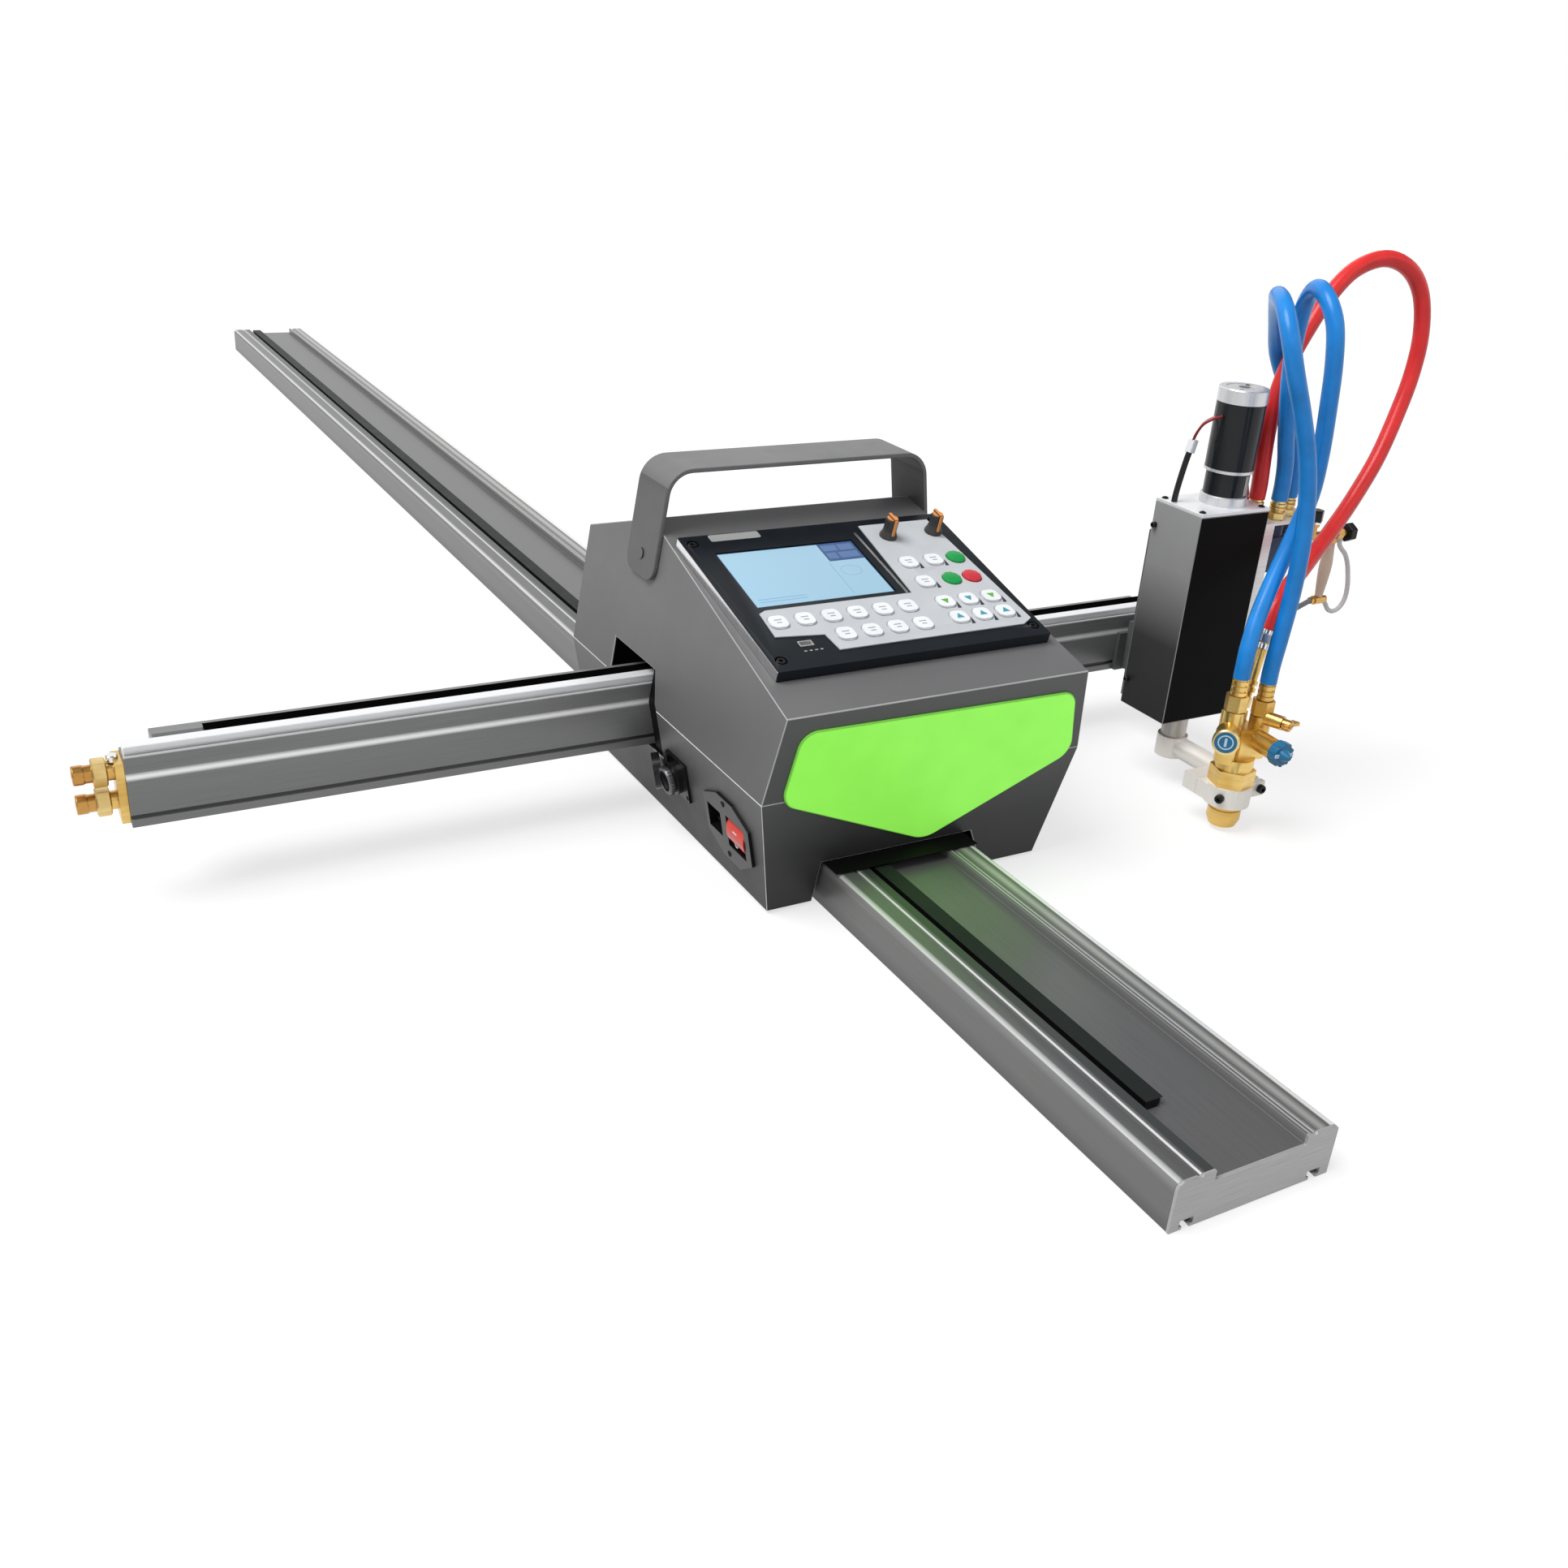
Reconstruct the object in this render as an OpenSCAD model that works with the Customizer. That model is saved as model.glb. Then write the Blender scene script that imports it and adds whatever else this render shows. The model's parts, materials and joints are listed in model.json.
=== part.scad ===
// Portable cutting machine: a rail, a travelling body on it, a cross beam through the body,
// and a motor lifter with a gas torch on the end of the beam.
// Millimetres. X is across the rail towards the torch, Y runs along the rail, Z is up.
// The origin is the middle of the rail's underside.

/* [Rail] */
// Length of the rail over its end caps
rail_len = 3450; // [3000:10:4200]
// Width of the rail
rail_w = 168; // [164:1:172]
// Height of the two raised lips
rail_h = 48; // [46:0.5:48.5]
// Height of the sunk web between the lips
web_z = 39; // [37:0.5:40]
// Width of the left lip
lip_left = 38; // [34:1:40]
// Width of the right lip
lip_right = 34; // [30:1:38]
// Wall of the hollow rail section
rail_wall = 4; // [3:0.5:5]
// Thickness of an end cap
cap_t = 3; // [2:0.5:5]
// Distance of the fixing slots from the middle of the underside
slot_x = 67; // [66:0.5:70]
// Width of a fixing slot at its mouth
slot_w = 8; // [6:0.5:9]

/* [Racks] */
// Module of both racks and their pinions
gear_m = 2; // [1.9:0.05:2.1]
// Teeth on each drive pinion
pinion_teeth = 18; // [17:1:19]
// Play between a pinion tooth and a rack tooth
backlash = 0.15; // [0.12:0.01:0.3]
// Height of a rack
rack_h = 8; // [7:0.5:8.5]
// Depth of a rack behind its pitch line
rack_back = 16; // [13:0.5:16]
// Bare web between the rail's near end and its rack
rack_start = 85; // [60:1:120]

/* [Body] */
// Front of the body at floor level
host_front = -1197; // [-1300:1:-900]
// Middle of the body across the rail
body_x = 23; // [15:1:30]
// Depth of the body along the rail
body_depth = 457; // [450:1:475]
// Width of the body at its widest fold
body_w = 382; // [376:1:392]
// Height of the widest fold
knee_z = 134; // [126:1:140]
// Inward slope of the cover's sides
slope_up = 0.15; // [0.12:0.01:0.17]
// Inward slope of the tray's sides
slope_low = 0.19; // [0.15:0.01:0.2]
// Forward lean of the front face
front_lean = 0.14; // [0.1:0.01:0.16]
// Height of the top edge of the front face
brow_z = 227; // [220:1:232]
// Height of the ridge behind the panel
ridge_z = 320; // [314:1:330]
// Distance of the ridge behind the front
ridge_back = 304; // [298:1:312]
// Height of the back edge of the roof
rear_z = 270; // [262:1:285]
// Thickness of the sheet metal
sheet = 2; // [1.5:0.1:2.5]
// Gap between the tray and the floor
foot_gap = 3; // [2:0.5:5]
// Height of the cut-out over the rail
tunnel_z = 51; // [50:0.5:53]

/* [Panel] */
// Width of the panel frame
panel_w = 322; // [312:1:326]
// Length of the panel frame up the slope
panel_l = 236; // [234:1:244]
// Distance of the panel frame from the front edge of the slope
panel_n = 54; // [50:1:58]
// Thickness of the panel frame
panel_t = 12; // [10:0.5:14]
// Width of the screen window
lcd_w = 165; // [154:1:168]
// Length of the screen window
lcd_l = 100; // [90:1:102]
// Thickness of the keypad foil
foil_t = 1.2; // [0.8:0.1:1.6]
// Radius of a key
key_r = 11; // [9:0.25:11.5]
// Travel of a key
key_travel = 1.5; // [1:0.1:2]
// Radius of a panel knob
knob_r = 9; // [8:0.25:11]
// Height of a panel knob
knob_h = 22; // [18:1:26]

/* [Handle] */
// Width of the handle strap
strap_w = 70; // [60:1:74]
// Thickness of the handle strap
strap_t = 5; // [4:0.5:6]
// Rounding of the strap's lower corners
strap_corner = 18; // [10:1:24]
// Height of the top of the handle
handle_z = 380; // [372:1:400]
// Height of the lower ends of the handle
handle_foot_z = 258; // [250:1:262]

/* [Running gear] */
// Radius of a track wheel
wheel_r = 13; // [12.5:0.1:13.5]
// Width of a track wheel
wheel_w = 14; // [12:0.5:16]
// Radius of a wheel axle
axle_r = 3; // [2.5:0.1:3.5]
// Underside of the chassis plate
plate_z = 58; // [57:0.5:58.5]
// Thickness of the chassis plate
plate_t = 8; // [7:0.5:9]

/* [Beam] */
// Left end of the beam
beam_left = -692; // [-900:1:-650]
// Right end of the beam
beam_right = 572; // [568:1:576]
// Distance of the beam's front face behind the body's front
beam_back = 249; // [246:1:252]
// Depth of the beam along the rail
beam_d = 72; // [68:1:74]
// Height of the beam at its front lip
beam_h = 73; // [71:0.5:75]
// Underside of the beam
beam_z = 82; // [80:1:83]
// Wall of the hollow beam section
beam_wall = 3; // [2.5:0.5:4]
// Width of the bright guide on top of the beam
guide_w = 15; // [14:0.5:16]
// Height of the bright guide
guide_h = 12; // [11:0.5:13]

/* [Lifter] */
// Width of the lifter housing
lift_w = 104; // [102:1:108]
// Depth of the lifter housing
lift_d = 76; // [74:1:80]
// Underside of the lifter housing
lift_z = 88; // [86:1:90]
// Height of the lifter housing
lift_h = 255; // [250:1:262]
// Left side of the lifter housing
lift_x = 424; // [423:1:425]
// Length of the outrigger from the beam to the housing
outrigger = 100; // [98:1:102]
// Thickness of the housing's top plate
top_t = 4; // [3:0.5:6]
// Radius of the lifting motor
motor_r = 27.5; // [25:0.5:29]
// Radius of the round slide below the housing
ram_r = 15; // [13:0.5:16]
// Upward travel of the torch from its lowest place
lift_travel = 20; // [15:1:22]

/* [Torch] */
// Height of the nozzle's tip above the rail's underside
tip_z = 5; // [4.5:0.5:8]
// Radius of the nozzle
nozzle_r = 19; // [17:0.5:20]
// Height of the nozzle
nozzle_h = 28; // [26:1:30]
// Height of the torch clamp
clamp_h = 24; // [20:1:26]
// Outer diameter of the gas hoses
hose_d = 19; // [16:0.5:20]

/* [Hidden] */
$fn = 48;
eps = 0.01;
// Gap between pieces that are mounted close together
fit = 0.2;
// Radial play of a turning piece on its shaft
play = 0.05;
// Gap at the end of a hose
hose_gap = 0.3;

half_rail = rail_w / 2;
half_body = body_w / 2;
rear_y = host_front + body_depth;
brow_y = front_at(brow_z);
ridge_y = host_front + ridge_back;
slope_rise = (ridge_z - brow_z) / (ridge_y - brow_y);
roof_rise = (rear_z - ridge_z) / (rear_y - ridge_y);
slope_a = atan(slope_rise);
lean_a = atan(front_lean);
low_a = atan(slope_low);
tunnel_left = -half_rail - 8;
tunnel_right = half_rail + 11;

rack_pitch = PI * gear_m;
pinion_r = gear_m * pinion_teeth / 2;
rack_x = -half_rail + lip_left + 6;
travel_pitch_x = rack_x + rack_back;
travel_x = travel_pitch_x + pinion_r + backlash;
pinion_face = 6;

beam_front = host_front + beam_back;
beam_rear = beam_front + beam_d;
beam_top = beam_z + beam_h;
leg_front = beam_front - 9;
leg_rear = beam_rear + 20;
leg_t = 6;
travel_y = (leg_rear + rear_y - sheet) / 2;
seat_z = beam_top - 5;
guide_y = beam_front + 7;
cross_pitch_y = beam_rear - 27;
cross_y = cross_pitch_y + pinion_r + backlash;
cross_x = body_x;
cross_gear_z = seat_z + 1.5;
bridge_z = seat_z + 27;
bridge_t = 8;
opening_front = beam_front - 28;
opening_rear = beam_rear + 24;

wheel_z = rail_h + fit + wheel_r;
wheel_left_x = -half_rail + lip_left / 2;
wheel_right_x = half_rail - lip_right / 2;
wheel_front_y = host_front + 47;
wheel_rear_y = rear_y - 50;

lift_back = beam_front - outrigger;
lift_front = lift_back - lift_d;
lift_top = lift_z + lift_h;
lift_right = lift_x + lift_w;
screw_x = lift_x + 64;
screw_y = lift_back - 40;
ram_x = lift_x + 40;
ram_y = lift_front + 19;
screw_r = 5;
rod_r = 4;
rod_y = lift_back - 16;
rod_left_x = lift_x + 22;
rod_right_x = lift_right - 14;
collar_z = lift_z - lift_travel - 6;
arm_z = collar_z - 13;
arm_r = 13;
torch_x = lift_x + 17;
torch_y = lift_front - 104;
clamp_z = tip_z + nozzle_h;
flange_z = lift_top - 21;
port_z = flange_z + 22;
torch_low = clamp_z + clamp_h;
valve_z = torch_low + 52;
preheat_at = [torch_x - 26, torch_y - 5, valve_z + 16];
preheat_turn = -48;
preheat_out = 22;
fuel_valve_at = [torch_x + 16, torch_y - 10, valve_z + 4];
fuel_valve_turn = -5;
fuel_valve_out = 34;
wing_at = [torch_x + 26, torch_y - 4, valve_z + 27];
wing_turn = 20;
wing_out = 24;
port_oxygen = [lift_right + 60, lift_back - 46, port_z];
port_cutting = [lift_right + 34, lift_front + 20, port_z];
port_fuel = [lift_right + 12, lift_front + 34, port_z];
tail_oxygen = [torch_x + 27, torch_y, torch_low + 119];
tail_cutting = [torch_x - 17, torch_y, torch_low + 131];
fuel_base = [torch_x + 11, torch_y + 20, torch_low + 71];
fuel_lean = 24;
fuel_turn = 25;
fuel_tail_h = 104;
fuel_dir = [sin(fuel_lean) * cos(fuel_turn), sin(fuel_lean) * sin(fuel_turn), cos(fuel_lean)];
tail_fuel = fuel_base + fuel_tail_h * fuel_dir;

// Ways of the three hoses over the top, from the housing's lower left back corner
oxygen_way = [[164, -42, 304], [162, -30, 336], [156, -16, 375], [138, -8, 415], [104, -30, 453],
    [62, -64, 482], [24, -100, 494], [0, -134, 488], [-10, -158, 464], [-4, -170, 428],
    [14, -174, 386], [30, -178, 342], [42, -180, 294], [47, -182, 246], [48, -182, 192],
    [46, -181, 144]];
cutting_way = [[134, -57, 300], [125, -58, 332], [114, -60, 370], [105, -62, 412], [99, -66, 450],
    [89, -79, 483], [76, -102, 501], [65, -128, 495], [62, -148, 472], [64, -156, 434],
    [68, -158, 386], [72, -158, 338], [73, -156, 294], [64, -153, 250], [43, -158, 208],
    [19, -168, 168], [4, -177, 138]];
fuel_way = [[116, -39, 308], [118, -36, 342], [125, -33, 379], [138, -30, 413], [158, -28, 447],
    [184, -24, 479], [218, -22, 507], [256, -28, 520], [290, -36, 510], [314, -42, 482],
    [323, -48, 438], [316, -54, 392], [296, -62, 346], [268, -72, 300], [232, -82, 259],
    [198, -92, 230], [164, -103, 207], [132, -115, 189], [102, -127, 176], [83, -135, 164]];
lifter_origin = [lift_x, lift_back, lift_z];
function route(port, way, tail, dir) = concat([port, port + [0, 0, 18]],
    [for (p = way) lifter_origin + p], [tail + 20 * dir, tail + hose_gap * dir]);
oxygen_route = route(port_oxygen, oxygen_way, tail_oxygen, [0, 0, 1]);
cutting_route = route(port_cutting, cutting_way, tail_cutting, [0, 0, 1]);
fuel_route = route(port_fuel, fuel_way, tail_fuel, fuel_dir);

function front_at(z) = host_front - front_lean * z;
function half_at(z) = half_body - (z > knee_z ? slope_up * (z - knee_z) : slope_low * (knee_z - z));
function low_side_x(z) = body_x - half_at(z);
key_left = -125;
key_pitch = 30.4;
function key_u(i) = key_left + key_pitch * i;

// A block between two corners
module block(a, b) {
    translate(a) cube(b - a);
}

// A plate outline in the Y and Z directions, run along X
module along_x(x0, x1) {
    translate([x0, 0, 0]) rotate([90, 0, 90]) linear_extrude(x1 - x0) children();
}

// An outline in the X and Z directions, run along Y
module along_y(y0, y1) {
    translate([0, y1, 0]) rotate([90, 0, 0]) linear_extrude(y1 - y0) children();
}

module ring(r1, r0, h) {
    difference() {
        cylinder(r = r1, h = h);
        translate([0, 0, -1]) cylinder(r = r0, h = h + 2);
    }
}

module hexagon(across, h) {
    cylinder(d = across / cos(30), h = h, $fn = 6);
}

// Local frames: on the sloped panel, on the front face, and on the tray's left side
module on_panel() {
    translate([body_x, brow_y, brow_z]) rotate([slope_a, 0, 0]) children();
}
module on_front() {
    translate([body_x, host_front, 0]) rotate([90 + lean_a, 0, 0]) children();
}
module on_left(y, z) {
    translate([low_side_x(z), y, z]) rotate([0, -90 - low_a, 0]) children();
}

// Rail
module rail_outline() {
    polygon([[-half_rail, 0], [half_rail, 0], [half_rail, rail_h - 3], [half_rail - 3, rail_h],
        [half_rail - 24, rail_h], [half_rail - 25, rail_h - 1.5], [half_rail - 28, rail_h - 1.5],
        [half_rail - 29, rail_h], [half_rail - lip_right, rail_h], [half_rail - lip_right, web_z],
        [-half_rail + lip_left, web_z], [-half_rail + lip_left, rail_h],
        [-half_rail + 25, rail_h], [-half_rail + 24, rail_h - 1.5],
        [-half_rail + 21, rail_h - 1.5], [-half_rail + 20, rail_h],
        [-half_rail + 6, rail_h], [-half_rail + 1.8, rail_h - 1.8], [-half_rail, rail_h - 6]]);
}
module rail_slots() {
    for (s = [-1, 1]) {
        translate([s * slot_x - slot_w / 2, -1]) square([slot_w, 5]);
        translate([s * slot_x - slot_w / 2 - 3, 3]) square([slot_w + 6, 6]);
    }
}
module rail_chambers() {
    inner = half_rail - lip_left - rail_wall;
    for (x = [-inner, rail_wall / 2]) {
        translate([x, rail_wall]) square([inner - rail_wall / 2, web_z - 2 * rail_wall]);
    }
    translate([-half_rail + rail_wall, 13]) square([lip_left - 8, rail_h - 20]);
    translate([half_rail - lip_right + rail_wall, 13]) square([lip_right - 8, rail_h - 20]);
}
module rail_extrusion() {
    color("#5a5b5c") along_y(-rail_len / 2 + cap_t, rail_len / 2 - cap_t) difference() {
        rail_outline();
        rail_slots();
        rail_chambers();
    }
}
module rail_end_caps() {
    color("#c6c8ca") for (y = [-rail_len / 2, rail_len / 2 - cap_t]) {
        along_y(y, y + cap_t) difference() {
            rail_outline();
            rail_slots();
        }
    }
}

// Outline of a rack with teeth towards +Y, from tooth a to tooth b, its pitch line at Y zero
function rack_tooth(c) = let(q = rack_pitch / 4 - backlash / 2, t = tan(20))
    [[c - q - 1.25 * gear_m * t, -1.25 * gear_m], [c - q + gear_m * t, gear_m],
     [c + q - gear_m * t, gear_m], [c + q + 1.25 * gear_m * t, -1.25 * gear_m]];
module rack_strip(a, b) {
    start = (a - 0.5) * rack_pitch;
    end = (b + 0.5) * rack_pitch;
    teeth = [for (i = [a : b]) for (p = rack_tooth(i * rack_pitch)) p];
    linear_extrude(rack_h) polygon(concat([[start, -rack_back], [start, -1.25 * gear_m]],
        teeth, [[end, -1.25 * gear_m], [end, -rack_back]]));
}
rail_rack_first = ceil((-rail_len / 2 + rack_start - travel_y) / rack_pitch);
rail_rack_last = floor((rail_len / 2 - 6 - travel_y) / rack_pitch);
module rail_rack() {
    color("#23282a") translate([travel_pitch_x, travel_y, web_z]) rotate([0, 0, -90])
        mirror([1, 0, 0]) rack_strip(rail_rack_first, rail_rack_last);
}
beam_rack_first = ceil((beam_left + 76 - cross_x) / rack_pitch);
beam_rack_last = floor((beam_right - 4 - cross_x) / rack_pitch);
module beam_rack() {
    color("#141516") translate([cross_x, cross_pitch_y, seat_z])
        rack_strip(beam_rack_first, beam_rack_last);
}

// Pinion with involute flanks and a gap towards the given angle
function involute(a) = tan(a) * 180 / PI - a;
function flank_a(r) = let(rb = pinion_r * cos(20), play_a = backlash / 2 / pinion_r * 180 / PI)
    90 / pinion_teeth - play_a + involute(20) - (r > rb ? involute(acos(rb / r)) : 0);
module pinion_gear(gap_a) {
    radii = [pinion_r - 1.25 * gear_m, pinion_r * cos(20), pinion_r - 0.25 * gear_m,
        pinion_r + 0.4 * gear_m, pinion_r + gear_m];
    points = [for (i = [0 : pinion_teeth - 1]) let(c = gap_a + (i + 0.5) * 360 / pinion_teeth)
        for (s = [-1, 1]) for (k = [0 : 4]) let(r = radii[s < 0 ? k : 4 - k])
            [r * cos(c + s * flank_a(r)), r * sin(c + s * flank_a(r))]];
    linear_extrude(pinion_face) polygon(points);
}
module travel_pinion() {
    color("#8d9093") translate([travel_x, travel_y, web_z + 1.5]) {
        pinion_gear(180);
        translate([0, 0, pinion_face - eps]) cylinder(r = 4, h = plate_z + plate_t - web_z);
    }
}
module cross_pinion() {
    color("#8d9093") translate([cross_x, cross_y, cross_gear_z]) {
        pinion_gear(-90);
        translate([0, 0, pinion_face - eps]) cylinder(r = 4, h = bridge_z + bridge_t - seat_z);
    }
}

// Body shells
function side_outline(t, lo) = let(
    tf = t / cos(lean_a), ts = t / cos(slope_a), tr = t * sqrt(1 + roof_rise * roof_rise),
    zb = (brow_z - ts + (host_front + tf - brow_y) * slope_rise) / (1 + front_lean * slope_rise),
    yr = (ridge_z - tr - ridge_y * roof_rise - brow_z + ts + brow_y * slope_rise)
        / (slope_rise - roof_rise))
    [[front_at(lo) + tf, lo], [front_at(zb) + tf, zb],
     [yr, ridge_z - tr + (yr - ridge_y) * roof_rise],
     [rear_y - t, rear_z - tr - t * roof_rise], [rear_y - t, lo]];
module body_form(t, lo, hi) {
    intersection() {
        along_x(body_x - half_body, body_x + half_body) polygon(side_outline(t, lo));
        along_y(host_front - 60, rear_y + 10) translate([body_x, 0]) polygon([
            [-half_at(lo) + t, lo], [-half_body + t, knee_z], [-half_at(ridge_z) + t, ridge_z],
            [half_at(ridge_z) - t, ridge_z], [half_body - t, knee_z], [half_at(lo) - t, lo]]);
        block([-300, host_front - 60, lo], [400, rear_y + 10, hi]);
    }
}
// The way for the beam through both sides of the body
module beam_way() {
    along_x(body_x - body_w, body_x + body_w) polygon([
        [opening_front, beam_z - 6], [opening_rear, beam_z - 6], [opening_rear, beam_top + 19],
        [opening_front + 18, beam_top + 19], [opening_front + 6, knee_z + 6],
        [opening_front, knee_z]]);
}
inlet_y = host_front + 66;
inlet_z = 67;
socket_y = host_front + 180;
socket_z = 74;
module lower_tray() {
    color("#414345") difference() {
        body_form(0, foot_gap, knee_z);
        body_form(sheet, foot_gap + sheet, knee_z + 1);
        along_y(host_front - 90, rear_y + 20) polygon([[tunnel_left, -1],
            [tunnel_left + 4, tunnel_z], [tunnel_right, tunnel_z], [tunnel_right + 26, -1]]);
        beam_way();
        on_left(inlet_y, inlet_z) translate([-19.5, -44, -10]) cube([39, 88, 20]);
        on_left(socket_y, socket_z) translate([0, 0, -10]) cylinder(r = 12, h = 20);
    }
    color("#414345") intersection() {
        body_form(sheet / 2, plate_z - 5, plate_z);
        for (s = [-1, 1]) translate([body_x + s * (half_at(plate_z) - sheet - 6), 0, 0])
            block([-7, beam_front - 20, 0], [7, rear_y - 20, plate_z]);
    }
}
module upper_cover() {
    color("#434547") difference() {
        body_form(0, knee_z, ridge_z + 1);
        body_form(sheet, knee_z - 1, ridge_z + 1);
        beam_way();
        on_panel() block([-panel_w / 2 + 14, panel_n + 14, -20],
            [panel_w / 2 - 14, panel_n + panel_l - 14, 20]);
    }
}
module front_badge() {
    color("#90f75a") on_front() linear_extrude(3) hull() {
        for (p = [[-142, 193, 20], [-147, 147, 22], [9, 92, 34], [156, 145, 22], [149, 189, 20]]) {
            translate([p[0], p[1]]) circle(r = p[2], $fn = 48);
        }
    }
}

// Handle: a bent flat strap over the ridge
handle_y = ridge_y + 2;
module strap_side(grow) {
    bend = 26 + grow;
    bend_z = handle_z - strap_t + grow - bend;
    bend_x = half_at(bend_z) + fit + grow - bend * sqrt(1 + slope_up * slope_up);
    foot = half_at(handle_foot_z) + fit + grow;
    hull() {
        for (s = [-1, 1]) translate([s * bend_x, bend_z]) circle(r = bend, $fn = 48);
        translate([-foot, handle_foot_z]) square([2 * foot, eps]);
    }
}
module carry_handle() {
    color("#4b4d4f") difference() {
        along_y(handle_y - strap_w / 2, handle_y + strap_w / 2) translate([body_x, 0])
            difference() {
                strap_side(strap_t);
                strap_side(0);
                translate([-half_body, handle_foot_z - 1]) square([body_w, 1 + 2 * eps]);
            }
        along_x(body_x - 260, body_x + 260) translate([handle_y, handle_foot_z])
            difference() {
                translate([-strap_w, -1]) square([2 * strap_w, strap_corner + 1]);
                hull() for (s = [-1, 1]) translate([s * (strap_w / 2 - strap_corner), strap_corner])
                    circle(r = strap_corner, $fn = 48);
            }
    }
}
side_screw_z = handle_foot_z + 24;
panel_screws = [[-150, panel_n + 17], [150, panel_n + 17], [-150, panel_n + panel_l - 14],
    [150, panel_n + panel_l - 14]];
module case_screws() {
    color("#1b1c1d") {
        for (s = [-1, 1]) {
            translate([body_x + s * (half_at(side_screw_z) + fit + strap_t), handle_y, side_screw_z])
                rotate([0, s * (90 - atan(slope_up)), 0]) cylinder(r = 6, h = 1.4);
        }
        on_panel() for (p = panel_screws) {
            translate([p[0], p[1], panel_t - 4]) difference() {
                cylinder(r = 4.5, h = 4);
                translate([0, 0, 1.5]) hexagon(4, 3);
            }
        }
    }
}

// Chassis: floor plate, wheel wells and the bridge over the beam
wheel_spots = [[wheel_left_x, wheel_front_y], [wheel_right_x, wheel_front_y],
    [wheel_left_x, wheel_rear_y], [wheel_right_x, wheel_rear_y]];
module chassis_frame() {
    plate_half = half_at(plate_z) - sheet - 0.5;
    top = plate_z + plate_t;
    bridge_l = 110;
    color("#777a7d") difference() {
        union() {
            block([body_x - plate_half, host_front + sheet + 2, plate_z],
                [body_x + plate_half, rear_y - sheet - 0.5, top]);
            for (y = [leg_front, leg_rear - leg_t]) {
                block([body_x - bridge_l, y, top - eps], [body_x + bridge_l, y + leg_t, bridge_z + eps]);
            }
            block([body_x - bridge_l, leg_front, bridge_z],
                [body_x + bridge_l, leg_rear, bridge_z + bridge_t]);
        }
        for (p = wheel_spots) {
            block([p[0] - wheel_w / 2 - 1, p[1] - wheel_r - 2, plate_z - 1],
                [p[0] + wheel_w / 2 + 1, p[1] + wheel_r + 2, top + 1]);
            translate([p[0] - wheel_w / 2 - 9, p[1], wheel_z]) rotate([0, 90, 0])
                cylinder(r = axle_r + eps, h = wheel_w + 18);
        }
        block([body_x - plate_half - 1, inlet_y - 52, plate_z - 1],
            [body_x - plate_half + 42, socket_y + 20, top + 1]);
        translate([travel_x, travel_y, plate_z - 1]) cylinder(r = 10, h = plate_t + 2);
        translate([cross_x, cross_y, bridge_z - 1]) cylinder(r = 10, h = bridge_t + 2);
    }
}
module wheel_axles() {
    color("#b5b8ba") for (p = wheel_spots) {
        translate([p[0] - wheel_w / 2 - 8.8, p[1], wheel_z]) rotate([0, 90, 0])
            cylinder(r = axle_r, h = wheel_w + 17.6);
    }
}
module track_wheel(p) {
    color("#2b2d2f") translate([p[0] - wheel_w / 2, p[1], wheel_z]) rotate([0, 90, 0])
        ring(wheel_r, axle_r + play, wheel_w);
}
module wheel_front_left() { track_wheel(wheel_spots[0]); }
module wheel_front_right() { track_wheel(wheel_spots[1]); }
module wheel_rear_left() { track_wheel(wheel_spots[2]); }
module wheel_rear_right() { track_wheel(wheel_spots[3]); }
module beam_carriages() {
    color("#8a8d90") for (x = [body_x - 90, body_x + 30]) difference() {
        block([x, beam_front + 1, beam_top + 1.5], [x + 60, guide_y + guide_w + 5, bridge_z]);
        block([x - 1, guide_y - 0.3, beam_z], [x + 61, guide_y + guide_w + 0.3, seat_z + guide_h + 0.3]);
    }
}
// A geared motor: square foot, round can, and the bore that takes its shaft
module gear_motor(size, h) {
    difference() {
        union() {
            translate([-size / 2, -size / 2, 0]) cube([size, size, h * 0.45]);
            translate([0, 0, h * 0.45 - eps]) cylinder(r = size / 2 - 2, h = h * 0.55);
        }
        translate([0, 0, -1]) cylinder(r = 4 + play, h = 12);
    }
}
module travel_motor() {
    color("#2a2c2e") translate([travel_x, travel_y, plate_z + plate_t]) gear_motor(56, 92);
}
module cross_motor() {
    color("#2a2c2e") translate([cross_x, cross_y, bridge_z + bridge_t]) gear_motor(50, 78);
}
module power_supply() {
    color("#a9acaf") block([wheel_left_x + 20, host_front + 36, plate_z + plate_t],
        [wheel_right_x - 18, beam_front - 30, plate_z + plate_t + 38]);
}
module control_board() {
    color("#1f6b3a") on_panel() {
        block([-130, panel_n + 26, -24], [130, panel_n + panel_l - 30, -22.4]);
        for (u = [-120, 120]) for (n = [panel_n + 36, panel_n + panel_l - 40]) {
            translate([u, n, -22.4 - eps]) cylinder(r = 4, h = 22.4 + eps);
        }
        block([-60, panel_n + 60, -22.4 - eps], [10, panel_n + 110, -14]);
    }
}

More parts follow.
